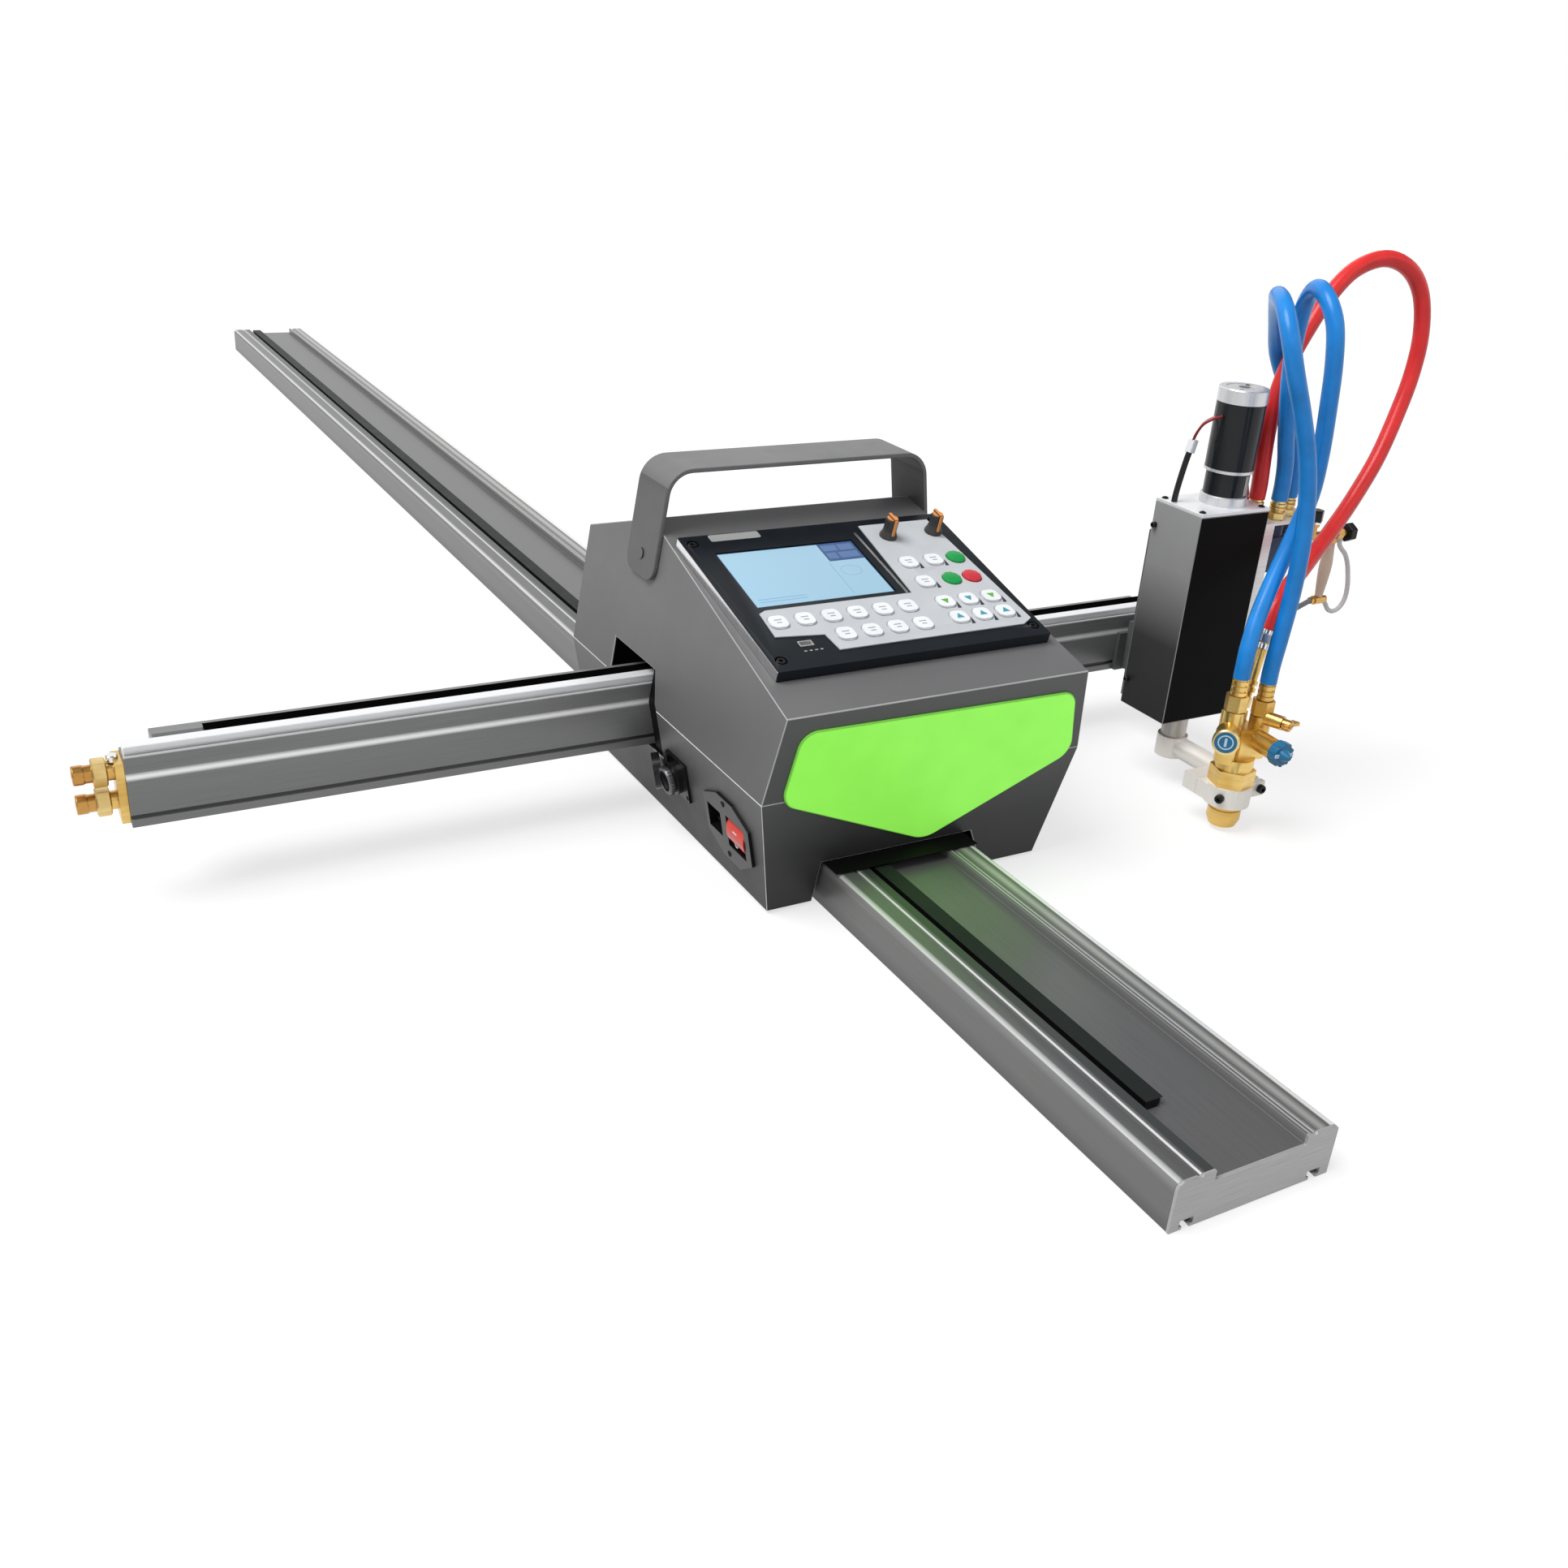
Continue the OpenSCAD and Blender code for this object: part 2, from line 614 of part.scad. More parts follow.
// Panel
lcd_u = -134;
lcd_n = panel_n + 102;
key_n = panel_n + 110;
start_at = [133, key_n + 37];
set_at = [105, key_n];
stop_at = [131, key_n];
moving_keys = [start_at, set_at, stop_at];
knob_spots = [[76, key_n + 89], [135, key_n + 89]];
usb_at = [-112, panel_n + 38];
module panel_frame() {
    color("#1d1f21") on_panel() difference() {
        block([-panel_w / 2, panel_n, 0], [panel_w / 2, panel_n + panel_l, panel_t]);
        block([lcd_u, lcd_n, 2], [lcd_u + lcd_w, lcd_n + lcd_l, panel_t + 1]);
        for (p = moving_keys) translate([p[0], p[1], -1]) cylinder(r = key_r + 0.25, h = panel_t + 2);
        for (p = knob_spots) translate([p[0], p[1], -1]) cylinder(r = 3 + play, h = panel_t + 2);
        for (p = panel_screws) translate([p[0], p[1], panel_t - 4]) cylinder(r = 6.5, h = 5);
        translate([usb_at[0] - 8, usb_at[1] - 4.5, 1]) cube([16, 9, panel_t]);
    }
}
foil_outline = [[52, panel_n + 224], [142, panel_n + 224], [154, panel_n + 28],
    [140, panel_n + 20], [-83, panel_n + 20], [-86, panel_n + 46], [-139, panel_n + 52],
    [-137, panel_n + 91], [-129, panel_n + 95], [45, panel_n + 95]];
arrow_left = 73;
arrow_pitch = 29;
flat_keys = concat([for (i = [0 : 5]) [key_u(i), panel_n + 73]],
    [for (i = [2 : 5]) [key_u(i), panel_n + 42]],
    [[72, key_n + 37], [104, key_n + 37], [71, key_n]],
    [for (i = [0 : 2]) for (j = [0, 1]) [arrow_left + arrow_pitch * i, panel_n + 72 - 28 * j]]);
module keypad_overlay() {
    color("#dfe1e3") on_panel() translate([0, 0, panel_t]) difference() {
        union() {
            linear_extrude(foil_t) polygon(foil_outline);
            for (p = flat_keys) translate([p[0], p[1], foil_t - eps]) cylinder(r = key_r, h = 1, $fn = 24);
        }
        for (p = moving_keys) translate([p[0], p[1], -1]) cylinder(r = key_r + 0.25, h = 5);
        for (p = knob_spots) translate([p[0], p[1], -1]) cylinder(r = 3 + play, h = 5);
    }
}
module lcd_screen() {
    color("#9fc4dc") on_panel() block([lcd_u + fit, lcd_n + fit, 2],
        [lcd_u + lcd_w - fit, lcd_n + lcd_l - fit, panel_t - 1.5]);
}
module usb_socket() {
    color("#c9cbcd") on_panel() translate([usb_at[0], usb_at[1], 1]) difference() {
        translate([-7.8, -4.3, 0]) cube([15.6, 8.6, panel_t - 1]);
        translate([-6.5, -3, 2]) cube([13, 6, panel_t]);
    }
}
module panel_key(p) {
    on_panel() translate([p[0], p[1], 2.5]) {
        cylinder(r = key_r, h = panel_t);
        translate([0, 0, panel_t - eps]) cylinder(r1 = key_r, r2 = key_r - 2, h = 1.5);
    }
}
module key_start() { color("#1fa64a") panel_key(start_at); }
module key_set() { color("#1fa64a") panel_key(set_at); }
module key_stop() { color("#d8333a") panel_key(stop_at); }
module panel_knob(p) {
    on_panel() translate([p[0], p[1], 1]) {
        cylinder(r = 3, h = panel_t + foil_t);
        translate([0, 0, panel_t + foil_t - 1 + fit]) {
            cylinder(r1 = knob_r + 1, r2 = knob_r, h = 4);
            translate([0, 0, 4 - eps]) cylinder(r = knob_r - 1, h = knob_h - 4);
            translate([-1.5, -knob_r, knob_h - eps]) cube([3, 2 * knob_r, 3]);
        }
    }
}
module knob_left() { color("#2a2b2c") panel_knob(knob_spots[0]); }
module knob_right() { color("#2a2b2c") panel_knob(knob_spots[1]); }

// Sockets on the left side of the tray
rocker_r = 24;
rocker_l = 31;
rocker_w = 37;
rocker_y = -21.5;
rocker_pin_h = -2;
module power_inlet() {
    color("#161718") on_left(inlet_y, inlet_z) difference() {
        union() {
            linear_extrude(3.5) polygon([[-19, -52], [-38, -22], [-38, 12], [-20, 46],
                [22, 48], [37, 14], [37, -20], [22, -52]]);
            translate([-19, -43.5, -26]) cube([38, 87, 26 + eps]);
        }
        translate([-rocker_l / 2 - 2.5, rocker_y - rocker_w / 2 - 0.5, -11])
            cube([rocker_l + 5, rocker_w + 1, 20]);
        translate([0, rocker_y + rocker_w / 2 + 2, rocker_pin_h]) rotate([90, 0, 0])
            cylinder(r = 1.5 + play, h = rocker_w + 4);
        translate([-14, 10.5, -22]) cube([28, 29, 40]);
    }
}
module power_switch() {
    color("#d23a2e") on_left(inlet_y, inlet_z) translate([0, rocker_y, 0]) {
        intersection() {
            translate([0, rocker_w / 2, 5 - rocker_r]) rotate([90, 0, 0])
                cylinder(r = rocker_r, h = rocker_w);
            translate([-rocker_l / 2, -rocker_w / 2, -5]) cube([rocker_l, rocker_w, 20]);
        }
        translate([0, rocker_w / 2 + 1.5, rocker_pin_h]) rotate([90, 0, 0])
            cylinder(r = 1.5, h = rocker_w + 3);
    }
}
socket_flange = 46;
socket_barrel = 18;
socket_nose = 15;
socket_bore = 11.5;
socket_reach = 18;
cap_r = 20;
module round_socket() {
    color("#191a1b") on_left(socket_y, socket_z) {
        difference() {
            union() {
                translate([-socket_flange / 2, -socket_flange / 2, 0])
                    cube([socket_flange, socket_flange, 3]);
                translate([0, 0, -12]) cylinder(r = 11.8, h = 13);
                translate([0, 0, 3 - eps]) cylinder(r = socket_barrel, h = 7);
                translate([0, 0, 10 - 2 * eps]) cylinder(r = socket_nose, h = socket_reach - 10);
            }
            translate([0, 0, 4]) cylinder(r = socket_bore, h = socket_reach);
        }
        for (a = [45 : 90 : 315]) rotate([0, 0, a]) translate([6, 0, 4 - eps]) cylinder(r = 1.4, h = 9);
        translate([-4, cap_r + 11, 8]) rotate([-20, 0, 0]) cylinder(r = cap_r, h = 9);
    }
}

// Beam
module beam_outline() {
    d = beam_d;
    h = beam_h;
    difference() {
        polygon([[0, 0], [d, 0], [d, h - 5], [6, h - 5], [6, h - 7], [4, h - 7], [4, h], [1, h],
            [1, h - 18], [0, h - 20], [0, 13], [1.2, 12], [1.2, 9], [0, 8]]);
        translate([beam_wall + 1.5, beam_wall]) square([d / 2 - beam_wall - 3, h - 11 - 2 * beam_wall]);
        translate([d / 2 + 1.5, beam_wall]) square([d / 2 - beam_wall - 1.5, h - 11 - 2 * beam_wall]);
    }
}
// At the left end the rear half of the beam is cut back, beside the gas manifold
beam_half = 37.5;
beam_cutback = 31;
module beam_extrusion() {
    color("#5d5f61") difference() {
        along_x(beam_left, beam_right) translate([beam_front, beam_z]) beam_outline();
        block([beam_left - 1, beam_front + beam_half, beam_z - 1],
            [beam_left + beam_cutback, beam_rear + 1, beam_top + 1]);
    }
}
module beam_guide() {
    color("#d4d6d8")
        block([beam_left + 1, guide_y, seat_z], [beam_right - 1, guide_y + guide_w, seat_z + guide_h]);
}
manifold_y = beam_front + 22;
manifold_z = [beam_z + 22, beam_z + 52];
module gas_manifold() {
    color("#b8924a") {
        block([beam_left - 8, beam_front + 4, beam_z + 4], [beam_left, beam_front + beam_half, beam_top - 8]);
        for (z = manifold_z) translate([beam_left - 14, manifold_y, z]) rotate([0, 90, 0])
            cylinder(r = 9, h = 6 + eps);
    }
}
module inlet_fittings() {
    color("#c69a4e") for (z = manifold_z) translate([beam_left - 14, manifold_y, z]) rotate([0, -90, 0]) {
        difference() {
            union() {
                hexagon(25, 13);
                translate([0, 0, 13 - eps]) cylinder(r = 9.5, h = 17);
            }
            translate([0, 0, 10]) cylinder(r = 5, h = 30);
        }
    }
}

// Lifter
module lifter_bracket() {
    arm_left = lift_right - 22;
    color("#4f5153") {
        block([lift_x + 6, lift_back, lift_z + 6], [lift_right + 30, lift_back + 8, flange_z - 20]);
        difference() {
            block([arm_left, lift_back + 8 - eps, beam_z + 3],
                [beam_right - 8, beam_front - 6, beam_top - 6]);
            block([arm_left + 6, lift_back + 7, beam_z + 2],
                [beam_right - 14, beam_front - 5, beam_top - 12]);
        }
        block([arm_left - 12, beam_front - 6 - eps, beam_z + 1],
            [beam_right, beam_front - fit, beam_top - 22]);
    }
}
module lifter_housing() {
    wall = 2;
    color("#2c2d2e") difference() {
        block([lift_x, lift_front, lift_z], [lift_right, lift_back, lift_top - top_t]);
        block([lift_x + wall, lift_front + wall, lift_z + wall],
            [lift_right - wall, lift_back - wall, lift_top]);
        translate([ram_x, ram_y, lift_z - 1]) cylinder(r = ram_r + 0.5, h = 5);
        translate([screw_x, screw_y, lift_z - 1]) cylinder(r = screw_r + play, h = 5);
    }
}
module lifter_top_plate() {
    color("#c8cacc") difference() {
        block([lift_x, lift_front, lift_top - top_t], [lift_right, lift_back, lift_top]);
        translate([screw_x, screw_y, lift_top - top_t - 1]) cylinder(r = 8, h = top_t + 2);
    }
}
module lift_gearbox() {
    color("#3a3c3e") translate([screw_x, screw_y, lift_top]) difference() {
        union() {
            translate([0, 0, 0]) cylinder(r = motor_r - 1.5, h = 6);
            translate([0, 0, 6 - eps]) cylinder(r = motor_r - 3, h = 32);
            translate([0, 0, 38 - 2 * eps]) cylinder(r = motor_r - 1, h = 3);
        }
        translate([0, 0, -1]) cylinder(r = screw_r + play, h = 21);
    }
}
module lift_motor() {
    color("#222426") translate([screw_x, screw_y, lift_top + 41]) {
        cylinder(r = motor_r, h = 75);
        translate([0, 0, 75 - eps]) cylinder(r = motor_r + 0.5, h = 15);
    }
}
module lift_screw() {
    color("#b9bcbf") translate([screw_x, screw_y, lift_z + 0.5]) cylinder(r = screw_r, h = lift_h + 18);
}
module guide_rods() {
    color("#c9cbcd") for (x = [rod_left_x, rod_right_x]) translate([x, rod_y, lift_z + 2])
        cylinder(r = rod_r, h = lift_h - top_t - 2);
}
module lift_slide() {
    color("#bfc2c4") difference() {
        union() {
            block([lift_x + 7, lift_front + 3.5, lift_z + 22],
                [lift_right - 4, lift_back - 6, lift_z + 52]);
            translate([ram_x, ram_y, arm_z - 12]) cylinder(r = ram_r, h = lift_z + 24 - arm_z + 12);
        }
        translate([screw_x, screw_y, lift_z]) cylinder(r = screw_r + play, h = 80);
        for (x = [rod_left_x, rod_right_x]) translate([x, rod_y, lift_z])
            cylinder(r = rod_r + play, h = 80);
    }
}

// Torch holder
block_y = torch_y + 26 + fit;
block_d = 21;
arm_left_end = ram_x - 48;
module torch_arm() {
    color("#aeb1b3") difference() {
        union() {
            translate([ram_x, ram_y, arm_z - arm_r]) cylinder(r = ram_r + 3, h = 2 * arm_r);
            translate([ram_x + 2, ram_y, arm_z]) rotate([90, 0, 0])
                cylinder(r = arm_r, h = ram_y - block_y - block_d / 2);
            block([arm_left_end, block_y, arm_z - 6], [ram_x + 8, block_y + block_d, arm_z + 6]);
            block([arm_left_end, block_y, arm_z - 14], [ram_x - 28, block_y + block_d, arm_z + 6]);
        }
        translate([ram_x, ram_y, arm_z - 14]) cylinder(r = ram_r + play, h = 28);
    }
}
torch_neck_r = 17;
module torch_clamp() {
    color("#b4b6b8") difference() {
        union() {
            translate([torch_x, torch_y, clamp_z]) cylinder(r = 26, h = clamp_h);
            block([arm_left_end, torch_y, clamp_z + 2], [torch_x - 7, block_y - fit, clamp_z + clamp_h - 2]);
            block([torch_x + 14, torch_y - 9, clamp_z + 3],
                [torch_x + 48, torch_y + 9, clamp_z + clamp_h - 3]);
        }
        translate([torch_x, torch_y, clamp_z - 1]) cylinder(r = torch_neck_r + play, h = clamp_h + 2);
        block([torch_x + 5, torch_y - 1.5, clamp_z - 1],
            [torch_x + 49, torch_y + 1.5, clamp_z + clamp_h + 1]);
    }
}
// A hose tail: neck, hexagon nut and three rings below the hose's end
tail_rings = 20;
tail_nut = 18;
module hose_tail(h) {
    cylinder(r = 8.5, h = h - tail_rings);
    translate([0, 0, h - tail_rings - tail_nut]) hexagon(22, tail_nut);
    cylinder(r = 7.5, h = h);
    for (z = [19, 12.5, 6]) translate([0, 0, h - z]) cylinder(r = 9.3, h = 4);
}
// The fuel tail leans out between the two upright tails
module at_fuel_tail() {
    translate(fuel_base) rotate([0, 0, fuel_turn]) rotate([0, fuel_lean, 0]) children();
}
// A valve's own frame, its stem along Z
module at_valve(place, turn, out) {
    translate(place) rotate([90, 0, turn]) translate([0, 0, out]) children();
}
module fuel_tail() {
    cylinder(r = 8, h = fuel_tail_h);
    translate([0, 0, 14]) hexagon(18, 12);
    for (z = [32, 40, 82]) translate([0, 0, z]) cylinder(r = 10, h = 5);
    translate([0, 0, fuel_tail_h - 14]) hexagon(17, 8);
}
cutting_riser = 16;
tail_foot = torch_low + 76;
pipe_foot = torch_low + 30;
pipe_r = 12;
module body_pipe(tail, top) {
    translate([tail[0], tail[1], pipe_foot]) cylinder(r = pipe_r, h = top - pipe_foot);
}
module valve_boss(place, turn, out, r) {
    at_valve(place, turn, 0) cylinder(r = r, h = out);
}
module valve_bore(place, turn, out, r) {
    at_valve(place, turn, out - 10) cylinder(r = r + play, h = 12);
}
module torch_body() {
    color("#b98d45") {
        difference() {
            union() {
                translate([torch_x, torch_y, clamp_z]) cylinder(r = torch_neck_r, h = clamp_h + 1);
                translate([torch_x, torch_y, torch_low]) rotate([0, 0, 12]) hexagon(45, 20);
                translate([torch_x, torch_y, torch_low]) cylinder(r = 21.5, h = 34);
                body_pipe(tail_oxygen, tail_foot + 4);
                body_pipe(tail_cutting, tail_foot + cutting_riser);
                block([torch_x - 10, torch_y - 13, pipe_foot], [torch_x + 18, torch_y + 18, tail_foot - 6]);
                block([torch_x - 2, torch_y + 17, torch_low + 52],
                    [torch_x + 24, torch_y + 32, tail_foot + 2]);
                valve_boss(preheat_at, preheat_turn, preheat_out, 13);
                valve_boss(fuel_valve_at, fuel_valve_turn, fuel_valve_out, 12);
                valve_boss(wing_at, wing_turn, wing_out, 8);
                at_fuel_tail() fuel_tail();
            }
            valve_bore(preheat_at, preheat_turn, preheat_out, 4);
            valve_bore(fuel_valve_at, fuel_valve_turn, fuel_valve_out, 4);
            valve_bore(wing_at, wing_turn, wing_out, 3);
        }
        translate([tail_oxygen[0], tail_oxygen[1], tail_foot]) hose_tail(tail_oxygen[2] - tail_foot);
        translate([tail_cutting[0], tail_cutting[1], tail_foot + cutting_riser - 1])
            hose_tail(tail_cutting[2] - tail_foot - cutting_riser + 1);
    }
}
module cutting_nozzle() {
    color("#c0924a") translate([torch_x, torch_y, tip_z]) difference() {
        union() {
            cylinder(r1 = nozzle_r - 4, r2 = nozzle_r, h = 6);
            translate([0, 0, 6 - eps]) cylinder(r = nozzle_r, h = nozzle_h - 6);
        }
        translate([0, 0, -1]) cylinder(r = 3, h = 13);
    }
}
// A valve knob on a stem that turns in the torch
module valve_knob(r, h, stem) {
    translate([0, 0, -stem]) cylinder(r = 4, h = stem + 1);
    translate([0, 0, fit]) difference() {
        cylinder(r = r, h = h);
        for (a = [0 : 45 : 315]) rotate([0, 0, a]) translate([r + 1.5, 0, -1]) cylinder(r = 3, h = h + 2);
    }
}
module preheat_knob() {
    color("#2f6fa8") at_valve(preheat_at, preheat_turn, preheat_out) valve_knob(15, 8, 9);
}
module fuel_knob() {
    color("#235f8c") at_valve(fuel_valve_at, fuel_valve_turn, fuel_valve_out) {
        valve_knob(14, 12, 9);
        translate([0, 0, 12]) cylinder(r1 = 8, r2 = 2, h = 10);
    }
}
module wing_valve() {
    color("#c0924a") at_valve(wing_at, wing_turn, wing_out) {
        translate([0, 0, -9]) cylinder(r = 3, h = 10);
        translate([0, 0, fit]) cylinder(r = 6, h = 9);
        translate([-15, -2, 3]) cube([30, 4, 12]);
    }
}

// Gas valves on the right side of the housing
valve_half = 12.5;
flange_t = 3;
line_z = flange_z - 32;
line_l = 98;
line_x = port_oxygen[0] + valve_half;
bleed_x = port_oxygen[0] + 54;
tap_x = port_oxygen[0] + 90;
tap_drop = 84;
module valve_bracket() {
    inner = lift_right + fit;
    under = flange_z - flange_t;
    color("#9b9da0") {
        block([inner, lift_front + 4, lift_z + 100], [inner + flange_t, lift_back - 4, under + eps]);
        block([inner + flange_t - eps, lift_front + 4, lift_z + 107],
            [inner + flange_t + 15, lift_front + 4 + flange_t, under + eps]);
        difference() {
            block([inner, lift_front + 4, under], [port_oxygen[0] + 20, port_fuel[1] + 20, flange_z]);
            for (p = [port_oxygen, port_cutting, port_fuel]) translate([p[0], p[1], under - 1])
                cylinder(r = 5 + play, h = flange_t + 2);
        }
    }
}
module gas_valves() {
    under = flange_z - flange_t;
    color("#1d2f4d") for (p = [port_oxygen, port_cutting]) {
        block([p[0] - valve_half, p[1] - valve_half, under - 58],
            [p[0] + valve_half, p[1] + valve_half, under - 16]);
        translate([p[0], p[1], under - 16 - eps]) cylinder(r = 11, h = 16 + eps);
    }
}
module needle_knob() {
    color("#171314") translate([line_x + line_l, port_oxygen[1], line_z]) rotate([0, 90, 0]) {
        translate([0, 0, -5]) cylinder(r = 3, h = 6);
        translate([0, 0, fit]) difference() {
            cylinder(r = 12, h = 12);
            for (a = [0 : 60 : 300]) rotate([0, 0, a]) translate([14, 0, -1]) cylinder(r = 4, h = 14);
        }
    }
}
// Gas line with its bleed cap and drain tap, and the hose fittings on the valves
module gas_line() {
    translate([line_x, port_oxygen[1], line_z]) rotate([0, 90, 0]) difference() {
        cylinder(r = 6, h = line_l);
        translate([0, 0, line_l - 6]) cylinder(r = 3 + play, h = 7);
    }
    translate([bleed_x, port_oxygen[1], line_z]) {
        cylinder(r = 5, h = 20);
        translate([0, 0, 19]) cylinder(r = 9, h = 14);
    }
    translate([tap_x, port_oxygen[1], line_z - tap_drop]) {
        cylinder(r = 5, h = tap_drop);
        translate([0, 0, 10]) cylinder(r1 = 5, r2 = 7.5, h = 40);
        translate([-14, 0, 0]) rotate([0, 90, 0]) cylinder(r = 5.5, h = 26);
    }
}
module hose_fittings() {
    color("#c39a52") {
        for (p = [port_oxygen, port_cutting, port_fuel]) {
            translate([p[0], p[1], flange_z]) {
                translate([0, 0, -flange_t]) cylinder(r = 5, h = flange_t + 1);
                hexagon(20, 9);
                translate([0, 0, 9 - eps]) cylinder(r = 8, h = port_z - flange_z - 9);
                translate([0, 0, 13]) cylinder(r = 9.5, h = 5);
            }
        }
        gas_line();
        translate([lift_right + fit + flange_t + 7.3, lift_front + 16, lift_z + 98]) cylinder(r = 7, h = 48);
    }
}

// A hose swept along its route as one tube
function unit(v) = v / norm(v);
function heading(r, i) = unit(r[min(i + 1, len(r) - 1)] - r[max(i - 1, 0)]);
function hose_ring(r, i, side, sides) =
    let(t = heading(r, i), u = unit(side - (side * t) * t), v = cross(t, u))
    [for (k = [0 : sides - 1]) let(a = 360 * k / sides)
        r[i] + hose_d / 2 * (cos(a) * u + sin(a) * v)];
module hose(r, side) {
    sides = 10;
    count = len(r);
    walls = [for (i = [0 : count - 2]) for (k = [0 : sides - 1]) let(n = (k + 1) % sides, a = i * sides)
        for (f = [[a + k, a + n, a + sides + k], [a + n, a + sides + n, a + sides + k]]) [f[2], f[1], f[0]]];
    first = [for (k = [0 : sides - 1]) k];
    last = [for (k = [sides - 1 : -1 : 0]) (count - 1) * sides + k];
    polyhedron([for (i = [0 : count - 1]) for (p = hose_ring(r, i, side, sides)) p],
        concat(walls, [first, last]));
}
module oxygen_hose() { color("#3d8fdc") hose(oxygen_route, [-0.66, 0.75, 0]); }
module cutting_hose() { color("#3d8fdc") hose(cutting_route, [-0.66, 0.75, 0]); }
module fuel_hose() { color("#e0403c") hose(fuel_route, [0, 1, 0]); }

rail_extrusion();
rail_rack();
rail_end_caps();
lower_tray();
upper_cover();
front_badge();
chassis_frame();
carry_handle();
case_screws();
panel_frame();
keypad_overlay();
lcd_screen();
usb_socket();
power_inlet();
power_switch();
round_socket();
power_supply();
control_board();
travel_motor();
cross_motor();
beam_carriages();
wheel_axles();
wheel_front_left();
wheel_front_right();
wheel_rear_left();
wheel_rear_right();
travel_pinion();
cross_pinion();
knob_left();
knob_right();
key_start();
key_set();
key_stop();
beam_extrusion();
beam_guide();
beam_rack();
gas_manifold();
inlet_fittings();
lifter_bracket();
lifter_housing();
lifter_top_plate();
lift_gearbox();
lift_motor();
lift_screw();
guide_rods();
valve_bracket();
gas_valves();
hose_fittings();
needle_knob();
lift_slide();
torch_arm();
torch_clamp();
torch_body();
cutting_nozzle();
preheat_knob();
fuel_knob();
wing_valve();
oxygen_hose();
cutting_hose();
fuel_hose();
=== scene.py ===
"""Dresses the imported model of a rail-mounted cutting machine: body, beam, lifter, torch and hoses."""
import json
import math

import bmesh
import bpy
from mathutils import Matrix, Vector


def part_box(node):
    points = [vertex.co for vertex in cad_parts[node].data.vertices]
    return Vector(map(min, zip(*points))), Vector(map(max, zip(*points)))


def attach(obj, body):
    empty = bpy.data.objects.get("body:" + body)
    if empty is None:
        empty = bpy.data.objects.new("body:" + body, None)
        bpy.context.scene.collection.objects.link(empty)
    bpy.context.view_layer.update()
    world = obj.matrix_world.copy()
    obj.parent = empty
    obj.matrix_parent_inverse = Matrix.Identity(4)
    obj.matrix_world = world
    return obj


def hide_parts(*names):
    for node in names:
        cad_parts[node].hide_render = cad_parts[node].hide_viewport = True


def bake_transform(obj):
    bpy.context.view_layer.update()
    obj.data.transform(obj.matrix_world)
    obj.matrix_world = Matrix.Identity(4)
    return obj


bl_info = {
    "name": "Rail cutting machine",
    "version": (1, 0, 0),
    "blender": (4, 5, 0),
    "location": "View3D > Sidebar > Cutting machine",
    "description": "Builds the looks of a portable rail cutting machine over its packed frame",
    "category": "Object",
}

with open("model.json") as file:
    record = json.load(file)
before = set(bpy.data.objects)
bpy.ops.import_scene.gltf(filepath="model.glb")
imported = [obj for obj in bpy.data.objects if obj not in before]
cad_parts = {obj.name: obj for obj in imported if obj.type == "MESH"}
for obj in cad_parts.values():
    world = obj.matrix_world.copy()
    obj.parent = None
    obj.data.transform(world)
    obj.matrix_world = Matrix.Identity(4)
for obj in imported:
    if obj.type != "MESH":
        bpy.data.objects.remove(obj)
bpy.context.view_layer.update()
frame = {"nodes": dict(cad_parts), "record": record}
NODES = frame["nodes"]
JOINTS = {joint["name"]: joint for joint in frame["record"]["behaviour"]["joints"]}
MOUNTS = {mount["name"]: mount for mount in frame["record"]["mounts"]}
BODY_OF = {node: body for body, nodes in frame["record"]["behaviour"]["bodies"].items() for node in nodes}
MM = 0.001
LEFT_KNOB_ON_PANEL = Vector((76, 253, 8))


# Places that come from the frame

def shifted(x, y, z):
    """A move given in millimetres."""
    return Matrix.Translation(Vector((x, y, z)) * MM)


def turned_by(degrees, axis="Z"):
    return Matrix.Rotation(math.radians(degrees), 4, axis)


def facing(place, normal, along):
    """A matrix whose Z is the normal and whose X lies near the given direction."""
    z = Vector(normal).normalized()
    x = (Vector(along) - Vector(along).dot(z) * z).normalized()
    turn = Matrix((x, z.cross(x), z)).transposed().to_4x4()
    return Matrix.Translation(Vector(place)) @ turn


def panel_place():
    """The slanted panel seat: X across the body, Y up the slope, Z out of the panel."""
    knob = JOINTS["knob_left_turn"]
    at_knob = facing(knob["pos_m"], knob["axis"], (1, 0, 0))
    return at_knob @ Matrix.Translation(-LEFT_KNOB_ON_PANEL * MM)


def left_wall_place(mount):
    """A socket on the body's left wall: X up the wall, Y along the body, Z outwards."""
    mouth = MOUNTS[mount]
    return facing(mouth["pos_m"], mouth["axis"], (0, 0, 1))


def joint_place(joint, along=(0, 0, 1)):
    """Where a knob turns, with Z along its axis."""
    turning = JOINTS[joint]
    return facing(turning["pos_m"], turning["axis"], along)


PANEL = panel_place()
LIFTER_LOW, LIFTER_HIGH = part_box("lifter_housing")
PLATE_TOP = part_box("lifter_top_plate")[1].z
BEAM_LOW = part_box("beam_extrusion")[0]
MOTOR_LOW, MOTOR_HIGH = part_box("lift_motor")
MOTOR_AXIS = (MOTOR_LOW + MOTOR_HIGH) / 2
NOZZLE_LOW, NOZZLE_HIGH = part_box("cutting_nozzle")
TORCH_AXIS = (NOZZLE_LOW + NOZZLE_HIGH) / 2


# Finishes

